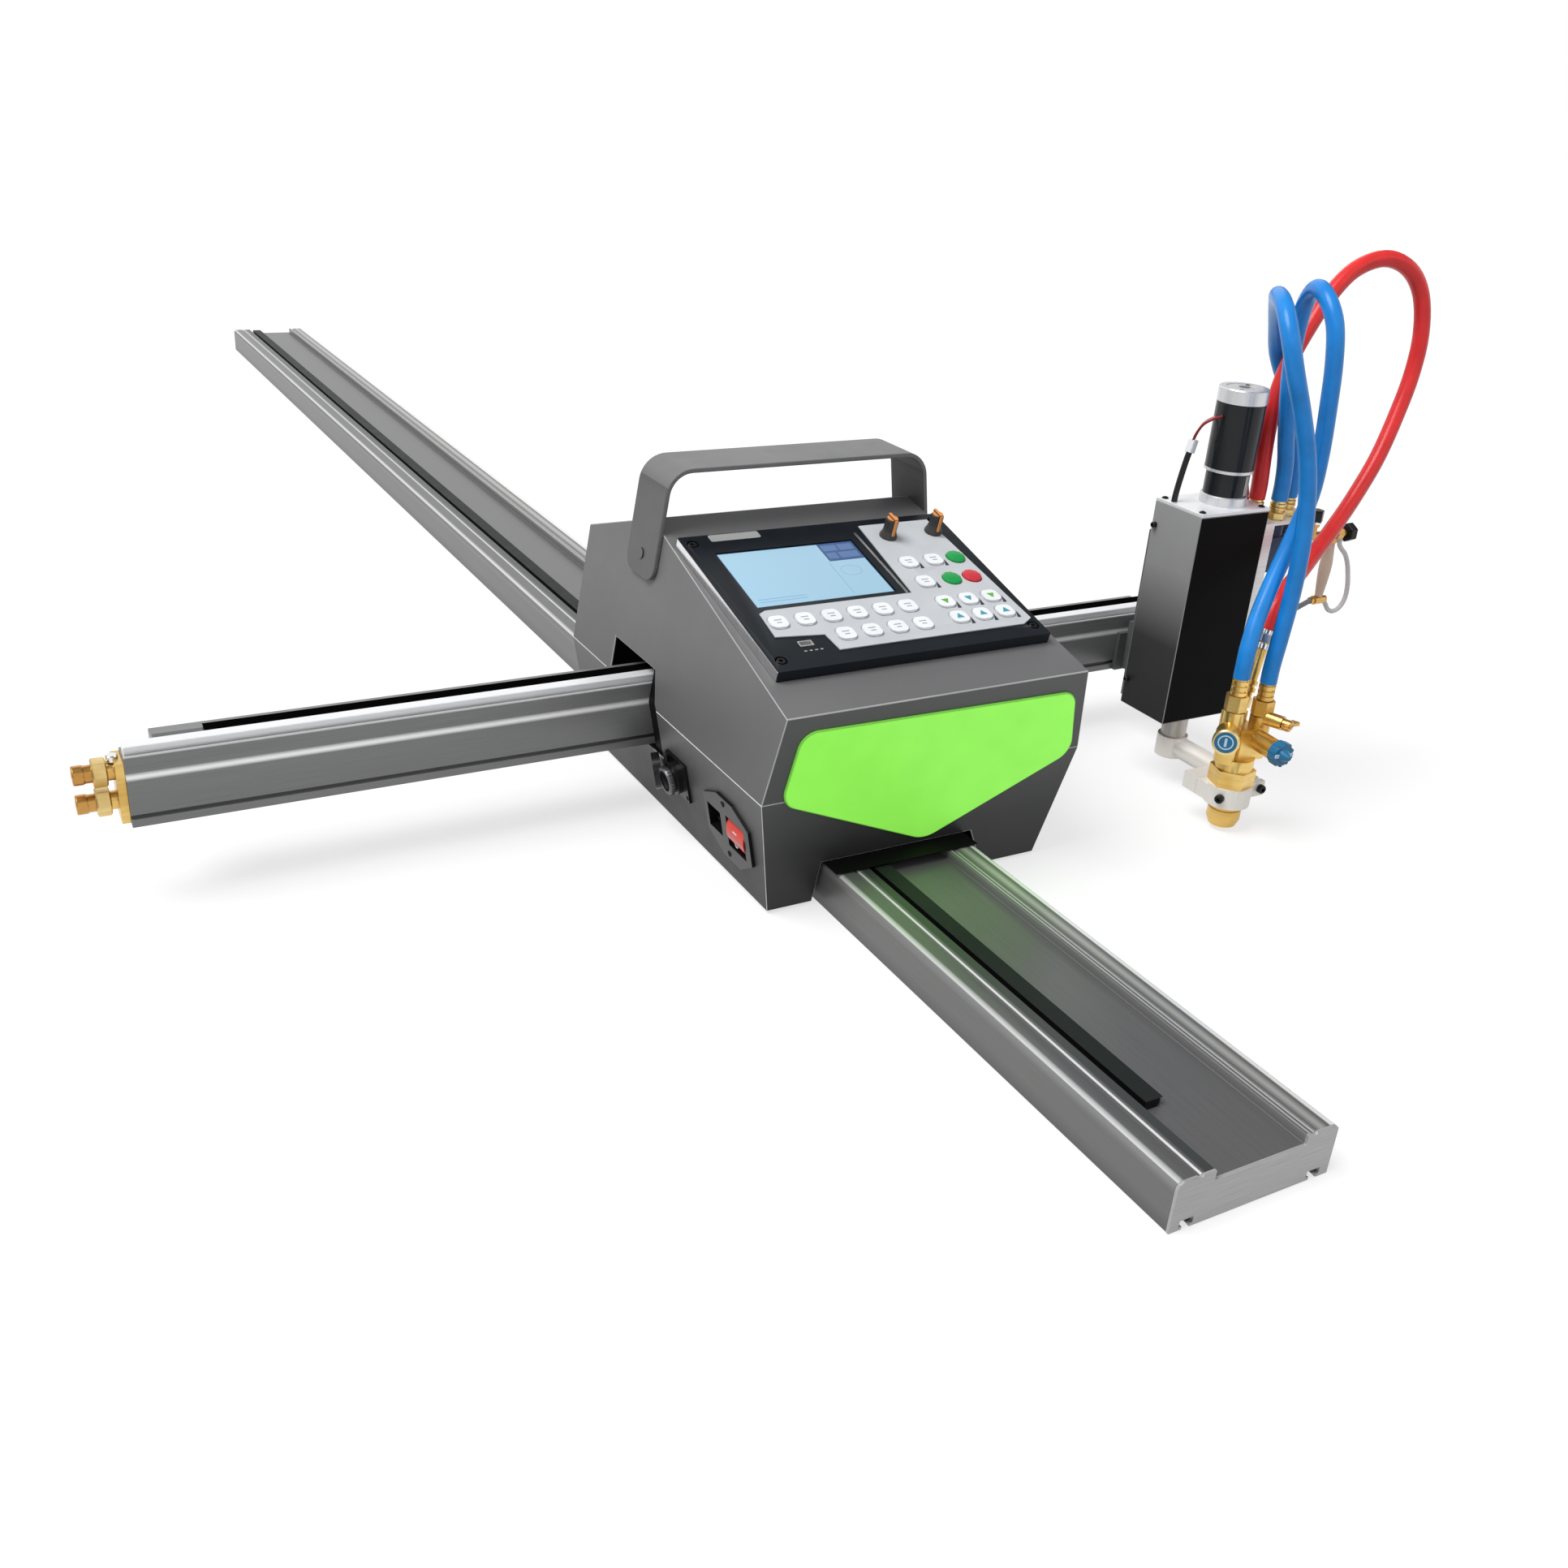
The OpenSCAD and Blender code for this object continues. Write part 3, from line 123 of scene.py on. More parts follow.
class Shades:
    """Small helper round one material's nodes."""

    def __init__(self, name):
        self.material = bpy.data.materials.new(name)
        self.material.use_nodes = True
        self.nodes = self.material.node_tree.nodes
        self.links = self.material.node_tree.links
        self.shader = self.nodes["Principled BSDF"]
        self.place = self.nodes.new("ShaderNodeTexCoord")

    def stretched(self, stretch):
        mapping = self.nodes.new("ShaderNodeMapping")
        mapping.inputs["Scale"].default_value = stretch
        self.links.new(self.place.outputs["Object"], mapping.inputs["Vector"])
        return mapping.outputs["Vector"]

    def noise(self, scale, detail=3.0, stretch=(1, 1, 1)):
        noise = self.nodes.new("ShaderNodeTexNoise")
        noise.inputs["Scale"].default_value = scale
        noise.inputs["Detail"].default_value = detail
        self.links.new(self.stretched(stretch), noise.inputs["Vector"])
        return noise.outputs["Fac"]

    def ramp(self, factor, stops):
        ramp = self.nodes.new("ShaderNodeValToRGB")
        while len(ramp.color_ramp.elements) < len(stops):
            ramp.color_ramp.elements.new(0.5)
        for element, (position, colour) in zip(ramp.color_ramp.elements, stops):
            element.position = position
            element.color = tuple(colour[:3]) + (1.0,)
        self.links.new(factor, ramp.inputs["Fac"])
        return ramp.outputs["Color"]

    def axis(self, name):
        split = self.nodes.new("ShaderNodeSeparateXYZ")
        self.links.new(self.place.outputs["Object"], split.inputs["Vector"])
        return split.outputs[name]

    def spread(self, value, low, high, bottom=0.0, top=1.0):
        spread = self.nodes.new("ShaderNodeMapRange")
        for socket, number in zip(("From Min", "From Max", "To Min", "To Max"), (low, high, bottom, top)):
            spread.inputs[socket].default_value = number
        self.links.new(value, spread.inputs["Value"])
        return spread.outputs["Result"]

    def mixed(self, factor, first, second, blend="MIX"):
        mix = self.nodes.new("ShaderNodeMix")
        mix.data_type = "RGBA"
        mix.blend_type = blend
        if isinstance(factor, float):
            mix.inputs[0].default_value = factor
        else:
            self.links.new(factor, mix.inputs[0])
        for socket, value in ((6, first), (7, second)):
            if isinstance(value, tuple):
                mix.inputs[socket].default_value = value[:3] + (1.0,)
            else:
                self.links.new(value, mix.inputs[socket])
        return mix.outputs[2]

    def bump(self, height, strength, distance=0.001):
        bump = self.nodes.new("ShaderNodeBump")
        bump.inputs["Strength"].default_value = strength
        bump.inputs["Distance"].default_value = distance
        self.links.new(height, bump.inputs["Height"])
        self.links.new(bump.outputs["Normal"], self.shader.inputs["Normal"])

    def set(self, **sockets):
        for name, value in sockets.items():
            self.shader.inputs[name.replace("_", " ")].default_value = value

    def colour(self, output):
        self.links.new(output, self.shader.inputs["Base Color"])

    def roughness(self, factor, low, high):
        self.links.new(self.spread(factor, 0.0, 1.0, low, high), self.shader.inputs["Roughness"])


def shade(colour, factor):
    return tuple(channel * factor for channel in colour[:3])


def powder_coat(name, colour, rough=0.5, grain=900.0, shine=0.5):
    """Sprayed and baked paint: fine orange peel, faint cloudiness."""
    coat = Shades(name)
    cloud = coat.noise(9.0)
    coat.colour(coat.ramp(cloud, [(0.3, shade(colour, 0.93)), (0.7, shade(colour, 1.08))]))
    coat.roughness(coat.noise(40.0), rough - 0.06, rough + 0.08)
    coat.bump(coat.noise(grain, 2.0), 0.12, 0.0002)
    coat.set(Metallic=0.0, IOR=1.45, Specular_IOR_Level=shine)
    return coat.material


def shaded_body_coat(name, colour):
    """The body's paint with painted shade: darker low down on the tray, where the floor's light fades, and a
    little lighter at the top.
    """
    coat = Shades(name)
    height = coat.spread(coat.axis("Z"), 0.0, 0.24)
    # Painted shade and light: a tenth of the colour at the floor, 1.1 times it at the top.
    low = coat.ramp(height, [(place, shade(colour, tone))
                             for place, tone in ((0.0, 0.1), (0.28, 0.28), (0.56, 0.8), (1.0, 1.1))])
    cloud = coat.ramp(coat.noise(7.0), [(0.3, (0.9, 0.9, 0.9)), (0.7, (1.0, 1.0, 1.0))])
    coat.colour(coat.mixed(1.0, low, cloud, "MULTIPLY"))
    coat.roughness(coat.noise(50.0), 0.4, 0.5)
    coat.bump(coat.noise(1100.0, 2.0), 0.1, 0.0002)
    coat.set(Metallic=0.0, IOR=1.46, Specular_IOR_Level=0.35)
    return coat.material


def graded_shade_coat(name, high, low, bottom, top):
    """Paint that fades from one tone at the bottom to another at the top: painted shade low down, painted
    light high up.
    """
    coat = Shades(name)
    height = coat.spread(coat.axis("Z"), bottom, top)
    fade = coat.ramp(height, [(0.0, low), (0.36, shade(high, 0.12)), (0.72, shade(high, 0.92)), (1.0, high)])
    cloud = coat.ramp(coat.noise(11.0), [(0.3, (0.92, 0.92, 0.92)), (0.7, (1.0, 1.0, 1.0))])
    coat.colour(coat.mixed(1.0, fade, cloud, "MULTIPLY"))
    coat.roughness(coat.noise(50.0), 0.42, 0.52)
    coat.bump(coat.noise(1000.0, 2.0), 0.1, 0.0002)
    coat.set(Metallic=0.0, Specular_IOR_Level=0.3)
    return coat.material


def brushed(name, colour, along="X", rough=0.32, metallic=1.0, contrast=0.25):
    """Drawn or brushed metal with fine lines along one axis."""
    metal = Shades(name)
    stretch = {"X": (1, 60, 60), "Y": (60, 1, 60), "Z": (60, 60, 1)}[along]
    lines = metal.noise(22.0, 6.0, stretch)
    metal.colour(metal.ramp(lines, [(0.3, shade(colour, 1 - contrast)),
                                    (0.7, shade(colour, 1 + contrast * 0.5))]))
    metal.roughness(lines, rough - 0.06, rough + 0.1)
    metal.bump(lines, 0.08, 0.0002)
    metal.set(Metallic=metallic)
    return metal.material


def anodised(name, colour, along, axis, bands):
    """Extruded section with a dark skin and bands of painted highlight on its edges and painted shade in its
    grooves: from, to and softness in metres, and a colour.
    """
    metal = Shades(name)
    stretch = {"X": (0.4, 50, 50), "Y": (50, 0.4, 50)}[along]
    lines = metal.noise(30.0, 5.0, stretch)
    skin = metal.ramp(lines, [(0.25, shade(colour, 0.86)), (0.75, shade(colour, 1.12))])
    place = metal.axis(axis)
    for low, high, soft, bright in bands:
        up = metal.spread(place, low - soft, low + soft)
        down = metal.spread(place, high - soft, high + soft, 1.0, 0.0)
        both = metal.nodes.new("ShaderNodeMath")
        both.operation = "MINIMUM"
        metal.links.new(up, both.inputs[0])
        metal.links.new(down, both.inputs[1])
        skin = metal.mixed(both.outputs[0], skin, bright)
    metal.colour(skin)
    metal.roughness(lines, 0.3, 0.42)
    metal.bump(lines, 0.06, 0.0002)
    metal.set(Metallic=0.35, IOR=1.5)
    return metal.material


def turned_brass(name, colour, rough=0.22):
    """Machined brass: fine turning marks, dull brown patches."""
    brass = Shades(name)
    marks = brass.noise(40.0, 2.0, (1, 1, 8))
    patina = brass.noise(22.0, 2.0)
    base = brass.ramp(marks, [(0.3, shade(colour, 0.9)), (0.7, shade(colour, 1.06))])
    dull = brass.ramp(patina, [(0.35, (0.78, 0.7, 0.56)), (0.6, (1.0, 1.0, 1.0))])
    brass.colour(brass.mixed(1.0, base, dull, "MULTIPLY"))
    brass.roughness(patina, rough + 0.08, rough)
    brass.set(Metallic=0.92)
    return brass.material


def hose_rubber(name, colour):
    """Smooth extruded hose with a soft shine and slight dust."""
    rubber = Shades(name)
    dust = rubber.noise(45.0, 5.0)
    rubber.colour(rubber.ramp(dust, [(0.3, shade(colour, 0.88)), (0.75, shade(colour, 1.1))]))
    rubber.roughness(dust, 0.28, 0.4)
    rubber.bump(rubber.noise(260.0, 2.0), 0.08, 0.0003)
    rubber.set(Metallic=0.0, IOR=1.5, Specular_IOR_Level=0.3, Coat_Weight=0.12, Coat_Roughness=0.15)
    return rubber.material


def moulded(name, colour, rough=0.35, grain=500.0, strength=0.06, shine=0.4, light=0.0):
    """Moulded plastic with a light grain; a light above nought makes it glow, as painted light."""
    plastic = Shades(name)
    cloud = plastic.noise(30.0)
    tone = plastic.ramp(cloud, [(0.3, shade(colour, 0.96)), (0.7, shade(colour, 1.03))])
    plastic.colour(tone)
    plastic.roughness(cloud, rough - 0.05, rough + 0.07)
    plastic.bump(plastic.noise(grain, 2.0), strength, 0.0002)
    plastic.set(Metallic=0.0, IOR=1.48, Specular_IOR_Level=shine)
    if light:
        plastic.links.new(tone, plastic.shader.inputs["Emission Color"])
        plastic.set(Emission_Strength=light)
    return plastic.material


def screen_glow(name, colour, corner, light=0.35):
    """Lit screen colour that drifts a little across the picture."""
    glow = Shades(name)
    across = glow.spread(glow.axis("X"), -0.11, 0.06)
    drift = glow.mixed(glow.noise(14.0), glow.ramp(across, [(0.0, colour), (1.0, corner)]), colour)
    glow.colour(drift)
    glow.links.new(drift, glow.shader.inputs["Emission Color"])
    glow.set(Emission_Strength=light, Roughness=0.12, Metallic=0.0, Coat_Weight=0.4, Coat_Roughness=0.05)
    return glow.material


def clear_tube(name, colour):
    """Soft translucent tubing."""
    tube = Shades(name)
    tube.colour(tube.ramp(tube.noise(80.0), [(0.3, shade(colour, 0.9)), (0.7, colour)]))
    tube.roughness(tube.noise(120.0), 0.2, 0.35)
    tube.set(Metallic=0.0, IOR=1.45, Alpha=0.72)
    return tube.material


SHADES = {}


def finish(name):
    """Makes each material once, from the colours kept on the scene."""
    if name in SHADES:
        return SHADES[name]
    colours = bpy.context.scene.cutter_colours
    paint = tuple(colours.body)
    makers = {
        "body paint": (shaded_body_coat, "body_paint", paint),
        "strap paint": (powder_coat, "strap_paint", shade(paint, 1.05), 0.42),
        "fold light": (powder_coat, "fold_light", (0.42, 0.42, 0.42), 0.3),
        "seam light": (powder_coat, "seam_light", (0.85, 0.86, 0.87), 0.3),
        "strap side": (powder_coat, "strap_side", shade(paint, 0.62), 0.42),
        "housing line": (powder_coat, "housing_line", (0.3, 0.3, 0.3), 0.3),
        "bracket paint": (powder_coat, "bracket_paint", (0.1, 0.103, 0.105)),
        "housing left": (graded_shade_coat, "housing_grey", (0.35, 0.35, 0.352), (0.01, 0.01, 0.01), 0.09, 0.34),
        "housing front painted shade": (powder_coat, "housing_black", (0.003, 0.003, 0.0031), 0.46, 900.0, 0.05),
        "badge green": (moulded, "badge_green", tuple(colours.badge), 0.3, 300.0, 0.02, 0.3, 0.5),
        "badge rim": (moulded, "badge_rim", shade(tuple(colours.badge), 0.62), 0.3, 300.0, 0.02, 0.3, 0.3),
        # Rail top: bright bands are painted highlights on the section's edges, dark bands are painted shade
        # in its grooves.
        "rail skin": (
            anodised, "rail_skin", (0.14, 0.14, 0.14), "Y", "X",
            [(-0.0835, -0.0785, 0.002, (0.62, 0.62, 0.62)), (-0.0602, -0.0588, 0.0005, (0.75, 0.75, 0.75)),
             (-0.056, -0.0455, 0.0008, (0.055, 0.06, 0.06)), (0.0525, 0.0545, 0.0006, (0.5, 0.5, 0.5)),
             (0.058, 0.0592, 0.0004, (0.45, 0.45, 0.45)), (0.064, 0.0715, 0.003, (0.42, 0.42, 0.4)),
             (0.0765, 0.081, 0.0009, (0.85, 0.85, 0.85))]),
        # Rail side: painted shade low down and a painted highlight along its top edge.
        "rail side": (
            anodised, "rail_side", (0.155, 0.155, 0.153), "Y", "Z",
            [(-0.01, 0.008, 0.008, (0.1, 0.1, 0.1)), (0.042, 0.06, 0.005, (0.26, 0.26, 0.26))]),
        "rack top": (powder_coat, "rack_top", (0.014, 0.017, 0.0165), 0.5, 900.0, 0.15),
        "rack shade": (powder_coat, "rack_shade", (0.002, 0.002, 0.002), 0.8, 900.0, 0.0),
        "pale plate": (brushed, "pale_plate", (0.6, 0.6, 0.6), "X", 0.3, 0.6, 0.2),
        "rack steel": (powder_coat, "rack_steel", (0.004, 0.004, 0.004), 0.4, 900.0, 0.15),
        "sawn end": (brushed, "sawn_aluminium", (0.45, 0.45, 0.445), "X", 0.42, 0.4, 0.2),
        # Beam skin: a painted highlight at the step, painted shade in the low groove, and a painted highlight
        # on the top lip.
        "beam skin": (
            anodised, "beam_skin", (0.215, 0.217, 0.217), "X", "Z",
            [(0.1315, 0.1365, 0.0016, (1.0, 1.0, 1.0)), (0.0905, 0.0945, 0.0006, (0.03, 0.03, 0.03)),
             (0.1535, 0.156, 0.0004, (0.6, 0.6, 0.6))]),
        "bright steel": (brushed, "ground_steel", (0.86, 0.87, 0.88), "X", 0.34, 0.3, 0.06),
        "slide steel": (brushed, "slide_steel", (0.5, 0.48, 0.45), "Z", 0.36, 0.6, 0.2),
        "cast alloy": (brushed, "cast_alloy", (0.93, 0.89, 0.83), "Z", 0.36, 0.25, 0.1),
        "plate alloy": (brushed, "plate_aluminium", (0.93, 0.94, 0.95), "X", 0.32, 0.3, 0.12),
        "dark steel": (brushed, "dark_steel", (0.12, 0.12, 0.125), "X", 0.35, 0.9),
        "primer": (powder_coat, "grey_primer", (0.2, 0.21, 0.22), 0.55),
        "black oxide": (moulded, "black_oxide", (0.006, 0.006, 0.0065), 0.3, 600.0, 0.05, 0.3),
        "panel black": (moulded, "panel_black", (0.006, 0.009, 0.013), 0.3, 700.0, 0.05, 0.25),
        "socket black": (moulded, "socket_black", (0.006, 0.006, 0.007), 0.24, 500.0, 0.05, 0.3),
        # Black for pieces that stand where there is only shade: painted shade.
        "dark cavity": (moulded, "dark_cavity", (0.003, 0.003, 0.003), 0.6, 500.0, 0.05, 0.1),
        "foil": (moulded, "keypad_foil", (0.56, 0.58, 0.6), 0.36, 900.0, 0.02),
        "key white": (moulded, "key_white", (0.86, 0.88, 0.89), 0.3, 600.0, 0.02),
        "key ring": (moulded, "key_ring", (0.36, 0.38, 0.4), 0.4),
        "key dark mark": (moulded, "key_dark_mark", (0.03, 0.035, 0.05), 0.5),
        "key blue mark": (moulded, "key_blue_mark", (0.05, 0.33, 0.42), 0.5),
        "key leaf mark": (moulded, "key_leaf_mark", (0.12, 0.42, 0.05), 0.5),
        "key green": (moulded, "key_green", (0.01, 0.33, 0.07), 0.28),
        "key red": (moulded, "key_red", (0.6, 0.035, 0.05), 0.28),
        "screen": (screen_glow, "screen_light", (0.3, 0.5, 0.64), (0.34, 0.5, 0.6), 0.2),
        "screen edge": (screen_glow, "screen_edge", (0.03, 0.06, 0.13), (0.02, 0.05, 0.12), 0.1),
        "screen menu": (screen_glow, "screen_menu", (0.03, 0.075, 0.19), (0.045, 0.1, 0.24), 0.25),
        "screen cell": (screen_glow, "screen_cell", (0.09, 0.17, 0.33), (0.07, 0.14, 0.3), 0.25),
        "screen line": (screen_glow, "screen_line", (0.2, 0.37, 0.55), (0.22, 0.4, 0.58), 0.2),
        "blank label": (brushed, "blank_label", (0.45, 0.46, 0.45), "X", 0.4, 0.3, 0.12),
        "plated": (brushed, "bright_plate", (0.78, 0.78, 0.79), "Z", 0.16, 1.0, 0.1),
        "motor metal": (brushed, "motor_metal", (0.72, 0.72, 0.73), "Z", 0.34, 0.75, 0.1),
        "rocker red": (moulded, "rocker_red", (0.7, 0.035, 0.02), 0.22),
        "white mark": (moulded, "white_mark", (0.8, 0.8, 0.8), 0.5),
        "knob grey": (moulded, "knob_grey", (0.045, 0.045, 0.045), 0.45, 800.0, 0.15),
        "knob orange": (moulded, "knob_orange", (0.78, 0.3, 0.08), 0.4),
        "motor black": (powder_coat, "motor_enamel", (0.008, 0.009, 0.011), 0.22, 500.0, 0.35),
        "board green": (moulded, "board_green", (0.02, 0.15, 0.06), 0.4),
        "brass": (turned_brass, "torch_brass", (0.8, 0.56, 0.19), 0.25),
        "pale brass": (turned_brass, "fitting_brass", (0.84, 0.67, 0.32), 0.27),
        "worn brass": (turned_brass, "worn_brass", (0.66, 0.38, 0.12), 0.26),
        "coil blue": (moulded, "coil_blue", (0.012, 0.03, 0.08), 0.4),
        "valve blue": (moulded, "valve_blue", (0.015, 0.16, 0.33), 0.22),
        "dial white": (moulded, "dial_white", (0.55, 0.72, 0.82), 0.3),
        "hose blue": (hose_rubber, "hose_blue", tuple(colours.blue_hose)),
        "hose red": (hose_rubber, "hose_red", tuple(colours.red_hose)),
        "wire red": (hose_rubber, "wire_red", (0.3, 0.02, 0.02)),
        "wire pink": (hose_rubber, "wire_pink", (0.45, 0.2, 0.22)),
        "wire black": (hose_rubber, "wire_black", (0.01, 0.01, 0.011)),
        "clear tube": (clear_tube, "clear_tube", (0.72, 0.68, 0.68)),
        "tan lever": (powder_coat, "tan_lever", (0.72, 0.55, 0.44), 0.4, 400.0),
    }
    maker, *details = makers[name]
    SHADES[name] = maker(*details)
    return SHADES[name]


# Ways of making pieces

def placed(name, data):
    """An object that shows the data, in the scene."""
    thing = bpy.data.objects.new(name, data)
    bpy.context.scene.collection.objects.link(thing)
    return thing


def settle(name, bm, coat, body, stands_for=(), sharp=30.0, bevel=0.0, segments=2, line=None):
    """Turns a finished bmesh into a piece that rides on a body."""
    mesh = bpy.data.meshes.new(name)
    bm.to_mesh(mesh)
    bm.free()
    mesh.shade_smooth()
    mesh.set_sharp_from_angle(angle=math.radians(sharp))
    piece = placed(name, mesh)
    for one in coat if isinstance(coat, tuple) else (coat,):
        mesh.materials.append(finish(one))
    if bevel:
        soften = piece.modifiers.new("rounded edges", "BEVEL")
        soften.width = bevel
        soften.segments = segments
        soften.limit_method = "ANGLE"
        soften.angle_limit = math.radians(28)
        soften.harden_normals = True
        # A line finish colours the bevel's own faces: painted highlights along folds and seams, and the
        # shield's glowing rim.
        if line:
            mesh.materials.append(finish(line))
            soften.material = len(mesh.materials) - 1
    if stands_for:
        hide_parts(*stands_for)
    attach(piece, body)
    return piece


def closed(bm):
    bmesh.ops.remove_doubles(bm, verts=bm.verts, dist=1e-6)
    bmesh.ops.recalc_face_normals(bm, faces=bm.faces)
    return bm


def prism(bm, outline, low, high, place=Matrix.Identity(4), rounding=0.0, material=0):
    """A flat outline in millimetres, drawn out from low to high along Z, with its upright edges rounded."""
    corners = [bm.verts.new(Vector((x, y, low)) * MM) for x, y in outline]
    base = bm.faces.new(corners)
    drawn = bmesh.ops.extrude_face_region(bm, geom=[base])["geom"]
    tops = [v for v in drawn if isinstance(v, bmesh.types.BMVert)]
    bmesh.ops.translate(bm, verts=tops, vec=(0, 0, (high - low) * MM))
    faces = {face for v in corners + tops for face in v.link_faces}
    if rounding:
        upright = [e for v in corners for e in v.link_edges if e.other_vert(v) in tops]
        made = bmesh.ops.bevel(bm, geom=upright, offset=rounding * MM, offset_type="OFFSET", segments=5,
                               profile=0.5, affect="EDGES", material=-1)
        faces |= {face for v in made["verts"] for face in v.link_faces}
    faces = [face for face in faces if face.is_valid]
    for face in faces:
        face.material_index = material
    verts = list({v for face in faces for v in face.verts})
    bmesh.ops.transform(bm, matrix=place, verts=verts)
    return verts


def box(bm, low, high, place=Matrix.Identity(4), rounding=0.0, material=0):
    outline = [(low[0], low[1]), (high[0], low[1]), (high[0], high[1]), (low[0], high[1])]
    return prism(bm, outline, low[2], high[2], place, rounding, material)


def turned(bm, profile, place=Matrix.Identity(4), steps=40, material=0):
    """A profile of (radius, height) points in millimetres, spun round Z."""
    before = set(bm.faces)
    points = [bm.verts.new(Vector((radius, 0, height)) * MM) for radius, height in profile]
    edges = [bm.edges.new(pair) for pair in zip(points, points[1:])]
    bmesh.ops.spin(bm, geom=points + edges, cent=(0, 0, 0), axis=(0, 0, 1), angle=2 * math.pi,
                   steps=steps, use_merge=True, use_duplicate=False)
    faces = [face for face in bm.faces if face not in before]
    for face in faces:
        face.material_index = material
    verts = list({v for face in faces for v in face.verts} | {v for v in points if v.is_valid})
    bmesh.ops.transform(bm, matrix=place, verts=verts)
    bmesh.ops.remove_doubles(bm, verts=verts, dist=1e-7)
    return verts


def nut(bm, across, low, high, place=Matrix.Identity(4), material=0):
    """A hexagon nut with its corners turned off, on Z."""
    corner = across / 2 / math.cos(math.radians(30))
    before = set(bm.faces)
    made = bmesh.ops.create_cone(bm, cap_ends=True, cap_tris=False, segments=6, radius1=corner * MM,
                                 radius2=corner * MM, depth=(high - low) * MM)
    bmesh.ops.translate(bm, verts=made["verts"], vec=(0, 0, (low + high) / 2 * MM))
    caps = [face for face in bm.faces if face not in before and len(face.verts) == 6]
    bmesh.ops.inset_region(bm, faces=caps, thickness=across * 0.07 * MM, depth=across * 0.05 * MM)
    faces = [face for face in bm.faces if face not in before]
    for face in faces:
        face.material_index = material
    verts = list({v for face in faces for v in face.verts})
    bmesh.ops.transform(bm, matrix=place, verts=verts)
    return verts


def dressed(node, coat, bevel=0.0, segments=2, sharp=30.0, line=None):
    """A cleaned copy of a CAD node with its edges broken, in the node's own place and on its body."""
    source = NODES[node]
    bm = bmesh.new()
    bm.from_mesh(source.data)
    bmesh.ops.remove_doubles(bm, verts=bm.verts, dist=2e-6)
    bmesh.ops.dissolve_limit(bm, angle_limit=math.radians(0.4), verts=bm.verts, edges=bm.edges)
    return settle(node + "_skin", bm, coat, BODY_OF[node], (node,), sharp, bevel * MM, segments, line)


def recoat(piece, coat, toward):
    """Gives the faces that look one way a finish of their own; here it carries painted shade and light on one
    side of a piece.
    """
    piece.data.materials.append(finish(coat))
    last = len(piece.data.materials) - 1
    for polygon in piece.data.polygons:
        if polygon.normal.dot(Vector(toward).normalized()) > 0.9:
            polygon.material_index = last


def painted(coat, *nodes):
    """CAD nodes whose shape is right keep it and get a finish."""
    for node in nodes:
        mesh = NODES[node].data
        mesh.materials.clear()
        mesh.materials.append(finish(coat))


def rack_strip(node, body, coat):
    """The smooth strip that lies on top of a rack, over the tips of its teeth."""
    low, high = (Vector(corner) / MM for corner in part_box(node))
    bm = bmesh.new()
    box(bm, (low.x, low.y, high.z), (high.x, high.y, high.z + 0.4))
    settle(node + "_strip", closed(bm), coat, body, bevel=0.15 * MM, segments=1)


def smooth_way(points, per=5):
    """A smooth line through given points, in metres."""
    ends = [2 * points[0] - points[1]] + points + [2 * points[-1] - points[-2]]
    line = []
    for before, start, end, after in zip(ends, ends[1:], ends[2:], ends[3:]):
        for step in range(per):
            t = step / per
            bend = 2 * before - 5 * start + 4 * end - after
            twist = 3 * start - before - 3 * end + after
            line.append(0.5 * (2 * start + (end - before) * t + bend * t * t + twist * t * t * t))
    return line + [points[-1]]


def tube(name, points, diameter, coat, sides=5, smooth=5):
    """A round cord along a way given in millimetres, as a mesh, and the line that it follows."""
    line = smooth_way([Vector(p) * MM for p in points], smooth)
    curve = bpy.data.curves.new(name + "_line", "CURVE")
    curve.dimensions = "3D"
    curve.bevel_depth = diameter / 2 * MM
    curve.bevel_resolution = sides
    curve.use_fill_caps = True
    spline = curve.splines.new("POLY")
    spline.points.add(len(line) - 1)
    for point, place in zip(spline.points, line):
        point.co = (*place, 1.0)
    holder = placed(name + "_line", curve)
    mesh = bpy.data.meshes.new_from_object(holder.evaluated_get(bpy.context.evaluated_depsgraph_get()))
    bpy.data.objects.remove(holder)
    bpy.data.curves.remove(curve)
    mesh.name = name
    mesh.materials.clear()
    mesh.materials.append(finish(coat))
    mesh.shade_smooth()
    mesh.set_sharp_from_angle(angle=math.radians(50))
    piece = placed(name, mesh)
    length = sum((b - a).length for a, b in zip(line, line[1:]))
    return piece, line, length


# The hoses' ways, as the part has them, in millimetres

OXYGEN_WAY = [
    (588, -1094, 344), (588, -1094, 362), (588, -1090, 392), (586, -1078, 424), (580, -1064, 463),
    (562, -1056, 503), (528, -1078, 541), (486, -1112, 570), (448, -1148, 582), (424, -1182, 576),
    (414, -1206, 552), (420, -1218, 516), (438, -1222, 474), (454, -1226, 430), (466, -1228, 382),
    (471, -1230, 334), (472, -1230, 280), (470, -1229, 232), (468, -1228, 196), (468, -1228, 176.3)]
CUTTING_WAY = [
    (562, -1104, 344), (562, -1104, 362), (558, -1105, 388), (549, -1106, 420), (538, -1108, 458),
    (529, -1110, 500), (523, -1114, 538), (513, -1127, 571), (500, -1150, 589), (489, -1176, 583),
    (486, -1196, 560), (488, -1204, 522), (492, -1206, 474), (496, -1206, 426), (497, -1204, 382),
    (488, -1201, 338), (467, -1206, 296), (443, -1216, 256), (428, -1225, 226), (424, -1228, 208),
    (424, -1228, 188.3)]
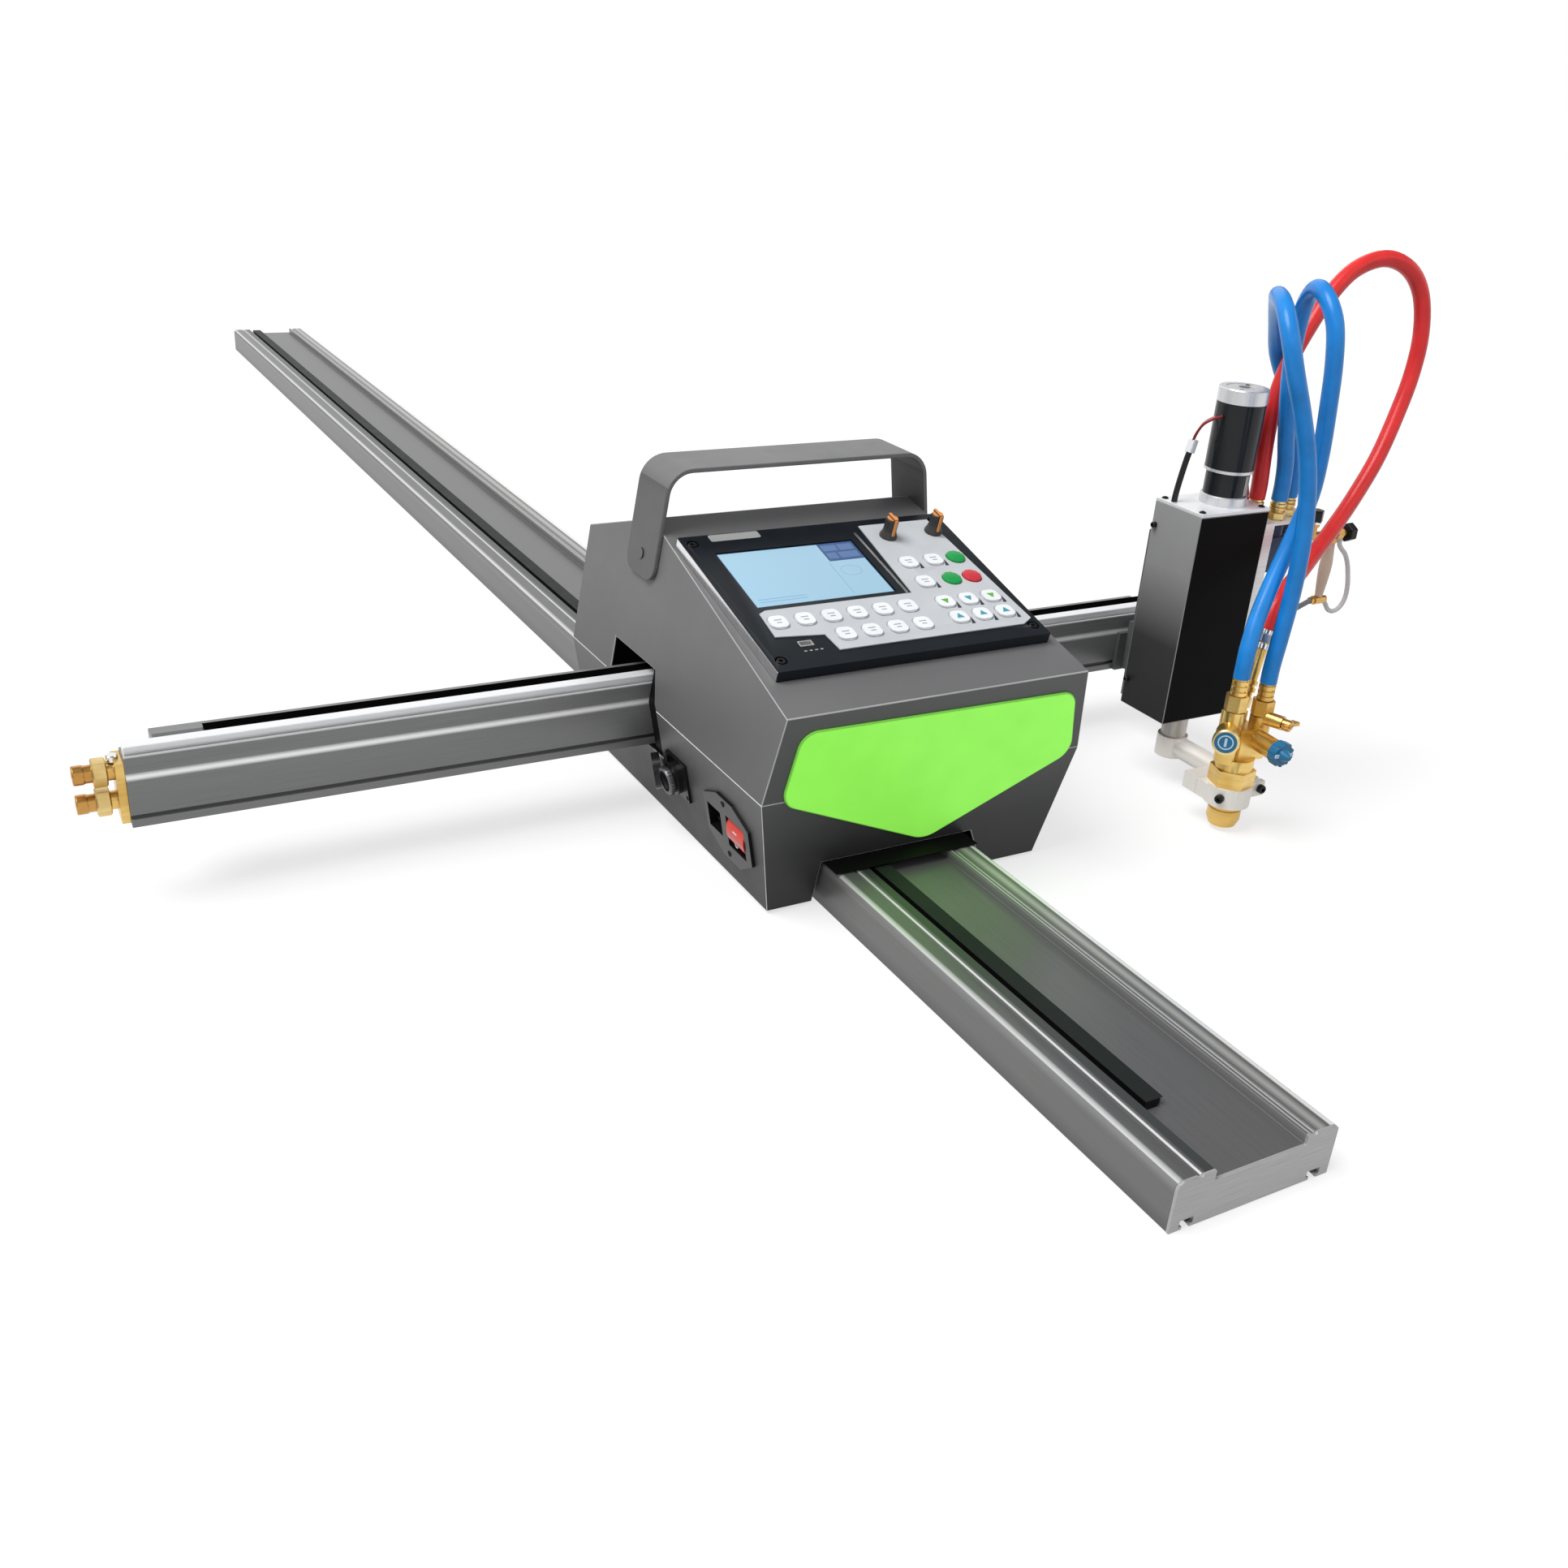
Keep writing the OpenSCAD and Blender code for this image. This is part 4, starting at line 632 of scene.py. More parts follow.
FUEL_WAY = [
    (540, -1090, 344), (540, -1090, 362), (540, -1087, 396), (542, -1084, 430), (549, -1081, 467),
    (562, -1078, 501), (582, -1076, 535), (608, -1072, 567), (642, -1070, 595), (680, -1076, 608),
    (714, -1084, 598), (738, -1090, 570), (747, -1096, 526), (740, -1102, 480), (720, -1110, 434),
    (692, -1120, 388), (656, -1130, 347), (622, -1140, 318), (588, -1151, 295), (556, -1163, 277),
    (526, -1175, 264), (507, -1183, 252), (497.7, -1186.7, 241.3), (490.4, -1190.1, 223.3)]


class CutterColours(bpy.types.PropertyGroup):
    """Colours of the painted and moulded parts."""

    body: bpy.props.FloatVectorProperty(
        name="Body", description="Paint of the body and its strap handle", subtype="COLOR", size=3,
        min=0.0, max=1.0, default=(0.15, 0.15, 0.152))
    badge: bpy.props.FloatVectorProperty(
        name="Front shield", description="Colour of the shield on the front", subtype="COLOR", size=3,
        min=0.0, max=1.0, default=(0.3, 0.92, 0.1))
    blue_hose: bpy.props.FloatVectorProperty(
        name="Blue hoses", description="Colour of the two blue gas hoses", subtype="COLOR", size=3,
        min=0.0, max=1.0, default=(0.012, 0.25, 0.72))
    red_hose: bpy.props.FloatVectorProperty(
        name="Red hose", description="Colour of the red gas hose", subtype="COLOR", size=3,
        min=0.0, max=1.0, default=(0.8, 0.03, 0.03))


class CutterSizes(bpy.types.PropertyGroup):
    """Sizes of the dressing pieces that a user would change."""

    hose: bpy.props.FloatProperty(
        name="Hose", description="Outer diameter of the gas hoses in millimetres",
        default=19.0, min=16.0, max=20.0)
    wire: bpy.props.FloatProperty(
        name="Wire", description="Diameter of the motor's leads in millimetres",
        default=3.0, min=2.0, max=5.0)
    key: bpy.props.FloatProperty(
        name="Key face", description="Width of a flat key's white face in millimetres",
        default=19.0, min=14.0, max=21.0)
    edge: bpy.props.FloatProperty(
        name="Sheet edge", description="Rounding of the folded sheet's edges in millimetres",
        default=2.0, min=0.4, max=2.5)


class CUTTER_OT_camera(bpy.types.Operator):
    """Adds the camera at the photograph's place and angle"""

    bl_idname = "cutter.camera"
    bl_label = "Camera"
    PLACE = (-0.8057, -2.3269, 0.7862)
    YAW, DOWN, ROLL = -30.737, 26.062, 4.193
    LENS = 34.85

    def execute(self, context):
        yaw, down, roll = (math.radians(a) for a in (self.YAW, self.DOWN, self.ROLL))
        ahead = Vector((-math.sin(yaw) * math.cos(down), math.cos(yaw) * math.cos(down), -math.sin(down)))
        level = Vector((math.cos(yaw), math.sin(yaw), 0))
        upright = level.cross(ahead)
        right = math.cos(roll) * level + math.sin(roll) * upright
        up = math.cos(roll) * upright - math.sin(roll) * level
        lens = bpy.data.cameras.new("photo_camera")
        lens.lens = self.LENS
        lens.sensor_width = 36.0
        lens.clip_start, lens.clip_end = 0.05, 60.0
        camera = placed("photo_camera", lens)
        turn = Matrix((right, up, -ahead)).transposed().to_4x4()
        camera.matrix_world = Matrix.Translation(Vector(self.PLACE)) @ turn
        context.scene.camera = camera
        return {"FINISHED"}


class CUTTER_OT_hoses(bpy.types.Operator):
    """Adds the two blue hoses and the red hose"""

    bl_idname = "cutter.hoses"
    bl_label = "Gas hoses"

    def execute(self, context):
        thick = context.scene.cutter_sizes.hose
        for name, way, coat, slot in (
            ("oxygen_hose", OXYGEN_WAY, "hose blue", "hose_blue"),
            ("cutting_hose", CUTTING_WAY, "hose blue", "hose_blue"),
            ("fuel_hose", FUEL_WAY, "hose red", "hose_red"),
        ):
            piece, line, length = tube(name + "_run", way, thick, coat, 6, 5)
            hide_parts(name)
            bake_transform(piece)
        return {"FINISHED"}


class CUTTER_OT_rail(bpy.types.Operator):
    """Dresses the rail, its end faces and its rack"""

    bl_idname = "cutter.rail"
    bl_label = "Rail"

    def execute(self, context):
        rail = dressed("rail_extrusion", "rail skin", 1.0)
        recoat(rail, "rail side", (-1, 0, 0))
        dressed("rail_end_caps", "sawn end", 0.3)
        painted("rack steel", "rail_rack")
        rack_strip("rail_rack", "rail", "rack top")
        return {"FINISHED"}


class CUTTER_OT_body(bpy.types.Operator):
    """Dresses the tray, the cover, the strap handle and the front shield, and puts black pieces in two gaps
    as painted shade
    """

    bl_idname = "cutter.body"
    bl_label = "Body"

    def execute(self, context):
        edge = context.scene.cutter_sizes.edge
        # The bevels of the tray and the cover take a light colour: painted highlights along the seam and the
        # folds.
        dressed("lower_tray", "body paint", edge * 0.9, line="seam light")
        dressed("upper_cover", "body paint", edge, line="fold light")
        strap = dressed("carry_handle", "strap paint", 1.2)
        # The strap's left-facing faces take a darker copy of its paint: painted shade.
        recoat(strap, "strap side", (-1, 0, 0))
        self.beam_gap_shade()
        self.mouth_shade_lip()
        # The shield and its darker rim glow a little: painted light.
        dressed("front_badge", "badge green", 1.6, line="badge rim")
        screws = dressed("case_screws", "black oxide", 0.4)
        # The screw heads' side faces take the strap's shaded tone: painted shade.
        for side in (1, -1):
            recoat(screws, "strap side", (side, 0, 0.2))
        return {"FINISHED"}

    def beam_gap_shade(self):
        """Black strips beside the beam in its side openings, in place of the photo's deep shadow there."""
        deep, gap, thick = 30, 0.8, 1.2
        low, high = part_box("lower_tray")
        middle, front = (low.x + high.x) / 2 / MM, BEAM_LOW.y / MM
        bm = bmesh.new()
        for side in (-1, 1):
            rows = [[bm.verts.new(Vector((middle + side * reach, y, z)) * MM)
                     for y in (front - deep, front - gap)]
                    for z, reach in ((74, 175.6), (134, 187.0), (176, 180.7))]
            for under, over in zip(rows, rows[1:]):
                bm.faces.new((under[0], under[1], over[1], over[0]))
        bmesh.ops.solidify(bm, geom=bm.faces[:], thickness=thick * MM)
        settle("beam_gap_shade", closed(bm), "dark cavity", "carriage")

    def mouth_shade_lip(self):
        """Black lip over the rail in the front mouth, 1.5 mm clear of it, in place of the photo's shadow."""
        foot, lean, half, under = -1197.0, 0.14, 85.5, 49.5
        bm = bmesh.new()
        near, far = ([bm.verts.new(Vector((x, foot - lean * z + out, z)) * MM)
                      for x, z in ((-half, under), (half, under), (half, top), (-half, top))]
                     for out, top in ((3.0, 50.8), (-26.0, 50.0)))
        bm.faces.new(near)
        bm.faces.new(far[::-1])
        bmesh.ops.bridge_loops(bm, edges=bm.edges[:])
        settle("mouth_shade_lip", closed(bm), "dark cavity", "carriage")


class CUTTER_OT_running_gear(bpy.types.Operator):
    """Finishes the parts inside the body: chassis, wheels, motors, pinions and electronics"""

    bl_idname = "cutter.running_gear"
    bl_label = "Running gear"

    def execute(self, context):
        painted("primer", "chassis_frame")
        painted("dark steel", "wheel_front_left", "wheel_front_right", "wheel_rear_left", "wheel_rear_right",
                "travel_pinion", "cross_pinion")
        painted("slide steel", "wheel_axles", "lift_screw", "guide_rods", "power_supply")
        painted("plate alloy", "beam_carriages")
        painted("motor black", "travel_motor", "cross_motor")
        painted("board green", "control_board")
        return {"FINISHED"}


class CUTTER_OT_panel(bpy.types.Operator):
    """Builds the control panel: frame, trim, keypad, keys, screen and label"""

    bl_idname = "cutter.panel"
    bl_label = "Control panel"
    TOP = 12.0
    FOIL = 13.2
    PLAIN = 10  # keys of the two rows under the screen, which have no corner mark

    def execute(self, context):
        self.frame_pieces()
        self.keypad(context.scene.cutter_sizes.key)
        self.screen()
        return {"FINISHED"}

    def frame_pieces(self):
        dressed("panel_frame", "panel black", 1.6, 3)
        dressed("usb_socket", "pale plate", 0.3)
        low, high = self.TOP - 0.2, self.TOP + 0.5
        plates = (
            ("panel_side_trim", "plated", (-161.9, 55, 0.3), (-161.0, 289, 11.4), 0.0, 0.3),
            ("blank_label", "blank label", (-128, 276.5, low), (-69, 288.5, high), 2.5, 0.2),
            ("screen_side_strip", "plated", (39.6, 151, low), (42.6, 267, self.TOP + 0.7), 0.8, 0.3),
        )
        for name, coat, near, far, rounding, edge in plates:
            bm = bmesh.new()
            box(bm, near, far, PANEL, rounding)
            settle(name, closed(bm), coat, "carriage", bevel=edge * MM)
        bm = bmesh.new()
        for x in (-120, -114, -108, -102):
            box(bm, (x, 79, self.TOP - 0.2), (x + 3.2, 80.6, self.TOP + 0.2), PANEL, 0.4)
        settle("port_marks", closed(bm), "key ring", "carriage")

    def keypad(self, face):
        dressed("keypad_overlay", "foil", 0.35)
        whites, rings, darks, blues, leaves = (bmesh.new() for _ in range(5))
        half = face / 2
        square = [(-half, -half), (half, -half), (half, half), (-half, half)]
        spots = [(-125 + 30.4 * i, 127) for i in range(6)] + [(-125 + 30.4 * i, 96) for i in range(2, 6)]
        spots += [(72, 201), (104, 201), (71, 164)]
        arrows = [(73 + 29 * i, 126 - 28 * j) for i in range(3) for j in range(2)]
        wide = half + 1.3
        for number, (u, n) in enumerate(spots + arrows):
            prism(whites, [(u + x, n + y) for x, y in square], self.FOIL, self.FOIL + 2.0, PANEL, 6.0)
            prism(rings, [(u + x / half * wide, n + y / half * wide) for x, y in square],
                  self.FOIL - 0.3, self.FOIL + 0.6, PANEL, 7.0)
            if number >= self.PLAIN:
                right, foot = u + half + 3.5, n - half - 3
                prism(darks, [(u + half - 1, foot), (right, foot), (right, n - 1)],
                      self.FOIL - 0.2, self.FOIL + 0.35, PANEL, 0.5)
            if number >= len(spots):
                marks = leaves if (u, n) in ((73, 126), (131, 126)) else blues
                outline = [(u - 4.5, n - 3), (u + 4.5, n - 3), (u, n + 5)]
                if number % 2:
                    outline = [(u - 4.5, n + 3), (u, n - 5), (u + 4.5, n + 3)]
                prism(marks, outline, self.FOIL + 1.8, self.FOIL + 2.25, PANEL, 0.6)
            else:
                for row, width in ((2.2, 8.5), (-2.2, 6.0)):
                    box(rings, (u - width / 2, n + row - 0.8, self.FOIL + 1.8),
                        (u + width / 2, n + row + 0.8, self.FOIL + 2.15), PANEL, 0.4)
        for name, bm, coat, slot in (
            ("key_faces", whites, "key white", "foil_grey"), ("key_rims", rings, "key ring", "foil_grey"),
            ("key_corner_marks", darks, "key dark mark", "foil_grey"),
            ("arrow_marks_blue", blues, "key blue mark", "foil_grey"),
            ("arrow_marks_leaf", leaves, "key leaf mark", "foil_grey"),
        ):
            settle(name, closed(bm), coat, "carriage", bevel=0.25 * MM)
        for node, colour, u, n in (("key_start", "green", 133, 201), ("key_set", "green", 105, 164),
                                   ("key_stop", "red", 131, 164)):
            bm = bmesh.new()
            here = PANEL @ shifted(u, n, 0)
            turned(bm, [(0, 2.5), (10.9, 2.5), (10.9, 14.6), (10.4, 15.4), (9.2, 16.0), (5, 16.5), (0, 16.6)],
                   here, 10)
            settle(node + "_cap", closed(bm), "key " + colour, node, (node,), 20.0)

    def screen(self):
        dressed("lcd_screen", "panel black", 0.2)
        top = 10.5
        plates = (
            ("screen_border", "screen edge", (-133.4, 156.6), (30.4, 255.4), 0.15),
            ("screen_picture", "screen", (-132, 158.2), (29, 254.2), 0.3),
            ("screen_menu", "screen menu", (-14, 222), (29, 254.2), 0.45),
        )
        for name, coat, low, high, lift in plates:
            bm = bmesh.new()
            box(bm, (*low, top - 0.1), (*high, top + lift), PANEL, 0.6)
            settle(name, closed(bm), coat, "carriage")
        bm = bmesh.new()
        for u, n, wide in ((-11.5, 240, 18), (8.5, 240, 18), (-11.5, 226, 12), (3, 226, 23.5)):
            box(bm, (u, n, top), (u + wide, n + 11, top + 0.55), PANEL, 1.0)
        settle("screen_menu_cells", closed(bm), "screen cell", "carriage")
        bm = bmesh.new()
        flat = Matrix.Diagonal((1.0, 0.75, 1.0, 1.0))
        place = PANEL @ shifted(2, 203, top) @ flat
        turned(bm, [(11.6, 0), (12.2, 0), (12.2, 0.42), (11.6, 0.42), (11.6, 0)], place, 48)
        for n in (165, 169.5):
            box(bm, (-126, n, top), (-70, n + 0.9, top + 0.42), PANEL)
        box(bm, (-17, 163, top), (-16.2, 219, top + 0.42), PANEL)
        settle("screen_lines", closed(bm), "screen line", "carriage")


class CUTTER_OT_panel_knobs(bpy.types.Operator):
    """Builds the two flared panel knobs with their orange pointers"""

    bl_idname = "cutter.panel_knobs"
    bl_label = "Panel knobs"

    def execute(self, context):
        for node, u in (("knob_left", LEFT_KNOB_ON_PANEL.x), ("knob_right", 135)):
            here = PANEL @ shifted(u, LEFT_KNOB_ON_PANEL.y, 13.5)
            bm = bmesh.new()
            turned(bm, [(0, 0), (10.0, 0), (10.0, 1.6), (9.2, 3.6), (7.6, 7), (6.9, 12), (6.9, 21.2),
                        (6.2, 22.4), (0, 22.4)], here, 32)
            box(bm, (-3.0, -9.6, 1.5), (3.0, 9.6, 5.0), here, 0.8)
            for turn in range(18):
                rib = here @ turned_by(20 * turn)
                box(bm, (6.5, -0.5, 8), (7.4, 0.5, 20.5), rib)
            box(bm, (-1.8, -7.6, 20), (1.8, 7.6, 24.3), here, 1.0)
            settle(node + "_grip", closed(bm), "knob grey", node, (node,))
            bm = bmesh.new()
            box(bm, (-1.7, -7.5, 24.2), (1.7, 7.5, 24.9), here, 0.8)
            box(bm, (-1.6, -9.2, 4.9), (1.6, -7.2, 23.8), here, 0.5)
            turned(bm, [(0, 22.3), (6.0, 22.3), (6.0, 22.9), (0, 22.9)], here, 32)
            settle(node + "_pointer", closed(bm), "knob orange", node)
        return {"FINISHED"}


class CUTTER_OT_sockets(bpy.types.Operator):
    """Builds the mains inlet with its red rocker, and the round connector with its cap"""

    bl_idname = "cutter.sockets"
    bl_label = "Sockets"

    def execute(self, context):
        dressed("power_inlet", "socket black", 0.9, 3)
        inlet = left_wall_place("mains_inlet") @ shifted(0, -25, -3.5)
        bm = bmesh.new()
        for x, y in ((-5, 20.5), (-5, 30.5), (5, 25.5)):
            box(bm, (x - 2, y - 0.8, -19.9), (x + 2, y + 0.8, -3), inlet, 0.3)
        settle("mains_pins", closed(bm), "plated", "carriage")
        bm = bmesh.new()
        for x, y in ((29, 1), (-31, 1)):
            here = inlet @ shifted(x, y, 3.3)
            turned(bm, [(0, 0), (3.4, 0), (3.4, 0.6), (2.2, 1.6), (0, 1.9)], here, 20)
        settle("inlet_screws", closed(bm), "black oxide", "carriage")
        dressed("power_switch", "rocker red", 0.5)
        bm = bmesh.new()
        here = inlet @ shifted(0, -21.5, 0)
        box(bm, (5.4, -4.2, 3.9), (6.6, 4.2, 4.55), here, 0.3)
        turned(bm, [(2.6, 0), (3.6, 0), (3.6, 0.5), (2.6, 0.5), (2.6, 0)],
               here @ shifted(-8, 0, 3.45), 24)
        settle("rocker_marks", closed(bm), "white mark", "power_switch")
        dressed("round_socket", "socket black", 0.8, 3)
        mouth = left_wall_place("round_socket_mouth")
        bm = bmesh.new()
        turned(bm, [(11.8, -5), (15.7, -5), (15.7, -1), (15.0, 0.3), (11.7, 0.3), (11.8, -5)], mouth, 36)
        for turn in range(24):
            rib = mouth @ turned_by(15 * turn)
            box(bm, (15.5, -0.6, -4.6), (16.2, 0.6, -1.2), rib)
        turned(bm, [(10.4, -1.6), (11.3, -1.6), (11.3, -12), (10.4, -12), (10.4, -1.6)], mouth, 36)
        settle("socket_collar", closed(bm), "dark steel", "carriage")
        bm = bmesh.new()
        for x, y in ((-18.5, -18.5), (18.5, -18.5), (18.5, 18.5)):
            turned(bm, [(0, 0), (2.6, 0), (2.6, 0.8), (0, 1.4)],
                   mouth @ shifted(x, y, -15.1), 16)
        settle("socket_screws", closed(bm), "black oxide", "carriage")
        return {"FINISHED"}


class CUTTER_OT_beam(bpy.types.Operator):
    """Dresses the cross beam, its guide, its rack and the two gas inlets"""

    bl_idname = "cutter.beam"
    bl_label = "Cross beam"
    PLUG = (-0.7001, -0.926, 0.1475)

    def execute(self, context):
        dressed("beam_extrusion", "beam skin", 0.8)
        dressed("beam_guide", "bright steel", 1.0)
        painted("rack steel", "beam_rack")
        # On the beam this strip is a near-black, dull sheet: painted shade over the rack.
        rack_strip("beam_rack", "beam", "rack shade")
        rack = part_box("beam_rack")[0]
        left = BEAM_LOW.x / MM
        bm = bmesh.new()
        cutback, wide, thick, gap = 31, 13, 6.5, 0.3
        box(bm, (left + cutback, rack.y / MM, rack.z / MM),
            (rack.x / MM - gap, rack.y / MM + wide, rack.z / MM + thick))
        settle("beam_stub_plate", closed(bm), "bracket paint", "beam", bevel=0.4 * MM)
        dressed("gas_manifold", "brass", 0.8)
        bm = bmesh.new()
        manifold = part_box("gas_manifold")[0].x
        for inlet in (MOUNTS["gas_inlet_low"]["pos_m"], MOUNTS["gas_inlet_high"]["pos_m"]):
            here = facing((manifold, inlet[1], inlet[2]), (-1, 0, 0), (0, 0, 1))
            nut(bm, 24.6, 1.2, 11.8, here)
            turned(bm, [(5.0, 22), (5.0, 30), (8.7, 30), (9.5, 29), (9.5, 21), (8.6, 19.4), (8.6, 13),
                        (5, 13), (5.0, 22)], here, 36, 1)
        settle("inlet_nipples", closed(bm), ("pale brass", "worn brass"), "beam",
               ("inlet_fittings",), bevel=0.25 * MM)
        bm = bmesh.new()
        here = facing(self.PLUG, (0, 0, 1), (1, 0, 0))
        turned(bm, [(0, -3), (5.5, -3), (5.5, 2), (4.6, 3.0), (0, 3.2)], here, 24)
        settle("manifold_plug", closed(bm), "plated", "beam")
        return {"FINISHED"}


class CUTTER_OT_lifter(bpy.types.Operator):
    """Dresses the lifter: housing, top plate, outrigger, slide, motor and gearhead"""

    bl_idname = "cutter.lifter"
    bl_label = "Lifter"

    def execute(self, context):
        # One paint shown with painted light and shade: grey high up fading to near black low down, near black
        # on the front faces, and painted highlights on its edges.
        housing = dressed("lifter_housing", "housing left", 1.4, line="housing line")
        recoat(housing, "housing front painted shade", (0, -1, 0))
        dressed("lifter_top_plate", "plate alloy", 0.6)
        dressed("lifter_bracket", "bracket paint", 0.8)
        dressed("lift_slide", "slide steel", 0.6)
        dressed("lift_gearbox", "motor black", 0.5)
        self.motor()
        self.plate_screws()
        return {"FINISHED"}

    def motor(self):
        axis = Matrix.Translation(Vector((MOTOR_AXIS.x, MOTOR_AXIS.y, 0)))
        low, high = MOTOR_LOW.z / MM, MOTOR_HIGH.z / MM
        can, cap = 27.5, high - 16
        bm = bmesh.new()
        turned(bm, [(0, low), (can - 0.5, low), (can, low + 0.6), (can, cap), (0, cap)], axis, 64)
        settle("motor_can", closed(bm), "motor black", "beam", ("lift_motor",))
        bm = bmesh.new()
        turned(bm, [(0, cap), (27.8, cap), (27.8, high - 1.2), (26.8, high), (20, high),
                    (20, high - 0.8), (10, high - 0.8), (10, high - 0.2), (0, high - 0.2)], axis, 64)
        settle("motor_end_cap", closed(bm), "motor metal", "beam")
        bm = bmesh.new()
        turned(bm, [(0, high - 0.3), (6.5, high - 0.3), (6.5, high), (0, high)], axis, 32)
        for turn in (35, 215):
            here = axis @ turned_by(turn) @ Matrix.Translation((0.0175, 0, 0))
            turned(bm, [(0, high - 1), (2.4, high - 1), (2.4, high - 0.1), (0, high - 0.1)], here, 16)
        settle("motor_cap_screws", closed(bm), "dark steel", "beam")
        bm = bmesh.new()
        turned(bm, [(24.5, low - 3.1), (27.9, low - 3.1), (27.9, low + 0.2), (24.5, low + 0.2),
                    (24.5, low - 3.1)], axis, 64)
        base = PLATE_TOP / MM
        turned(bm, [(22, base + 0.1), (26.8, base + 0.1), (26.8, base + 10), (25.4, base + 11),
                    (22, base + 11), (22, base + 0.1)], axis, 64)
        settle("gearhead_rings", closed(bm), "motor metal", "beam")
        # The label is the part of a ring that two upright planes leave.
        bm = bmesh.new()
        turned(bm, [(24.55, base + 13), (24.8, base + 13), (24.8, base + 35), (24.55, base + 35)], axis, 96)
        bmesh.ops.bisect_plane(bm, geom=bm.verts[:] + bm.edges[:] + bm.faces[:],
                               plane_co=(MOTOR_AXIS.x - 0.004, MOTOR_AXIS.y, 0), plane_no=(1, 0.35, 0),
                               clear_inner=True)
        bmesh.ops.bisect_plane(bm, geom=bm.verts[:] + bm.edges[:] + bm.faces[:],
                               plane_co=(MOTOR_AXIS.x, MOTOR_AXIS.y + 0.002, 0), plane_no=(0.2, 1, 0),
                               clear_outer=True)
        bmesh.ops.solidify(bm, geom=bm.faces[:], thickness=0.0002)
        settle("gearhead_label", closed(bm), "blank label", "beam")

    def plate_screws(self):
        left, front, back = LIFTER_LOW.x / MM, LIFTER_LOW.y / MM, LIFTER_HIGH.y / MM
        top = PLATE_TOP / MM
        bm = bmesh.new()
        for x, y in ((7, front + 7), (97, front + 7), (7, back - 7), (97, back - 7)):
            here = shifted(left + x, y, top)
            turned(bm, [(0, -0.2), (4, -0.2), (4, 0.6), (2.4, 1.8), (1.6, 1.9), (1.4, 0.8), (0, 0.8)],
                   here, 24)
        for z in (top - 31, 120):
            side = facing(Vector((left, back - 6, z)) * MM, (-1, 0, 0), (0, 0, 1))
            turned(bm, [(0, -0.2), (3.4, -0.2), (3.4, 4.2), (2.8, 5), (1.5, 5), (1.5, 3.6), (0, 3.6)],
                   side, 24)
        settle("lifter_screws", closed(bm), "black oxide", "beam")


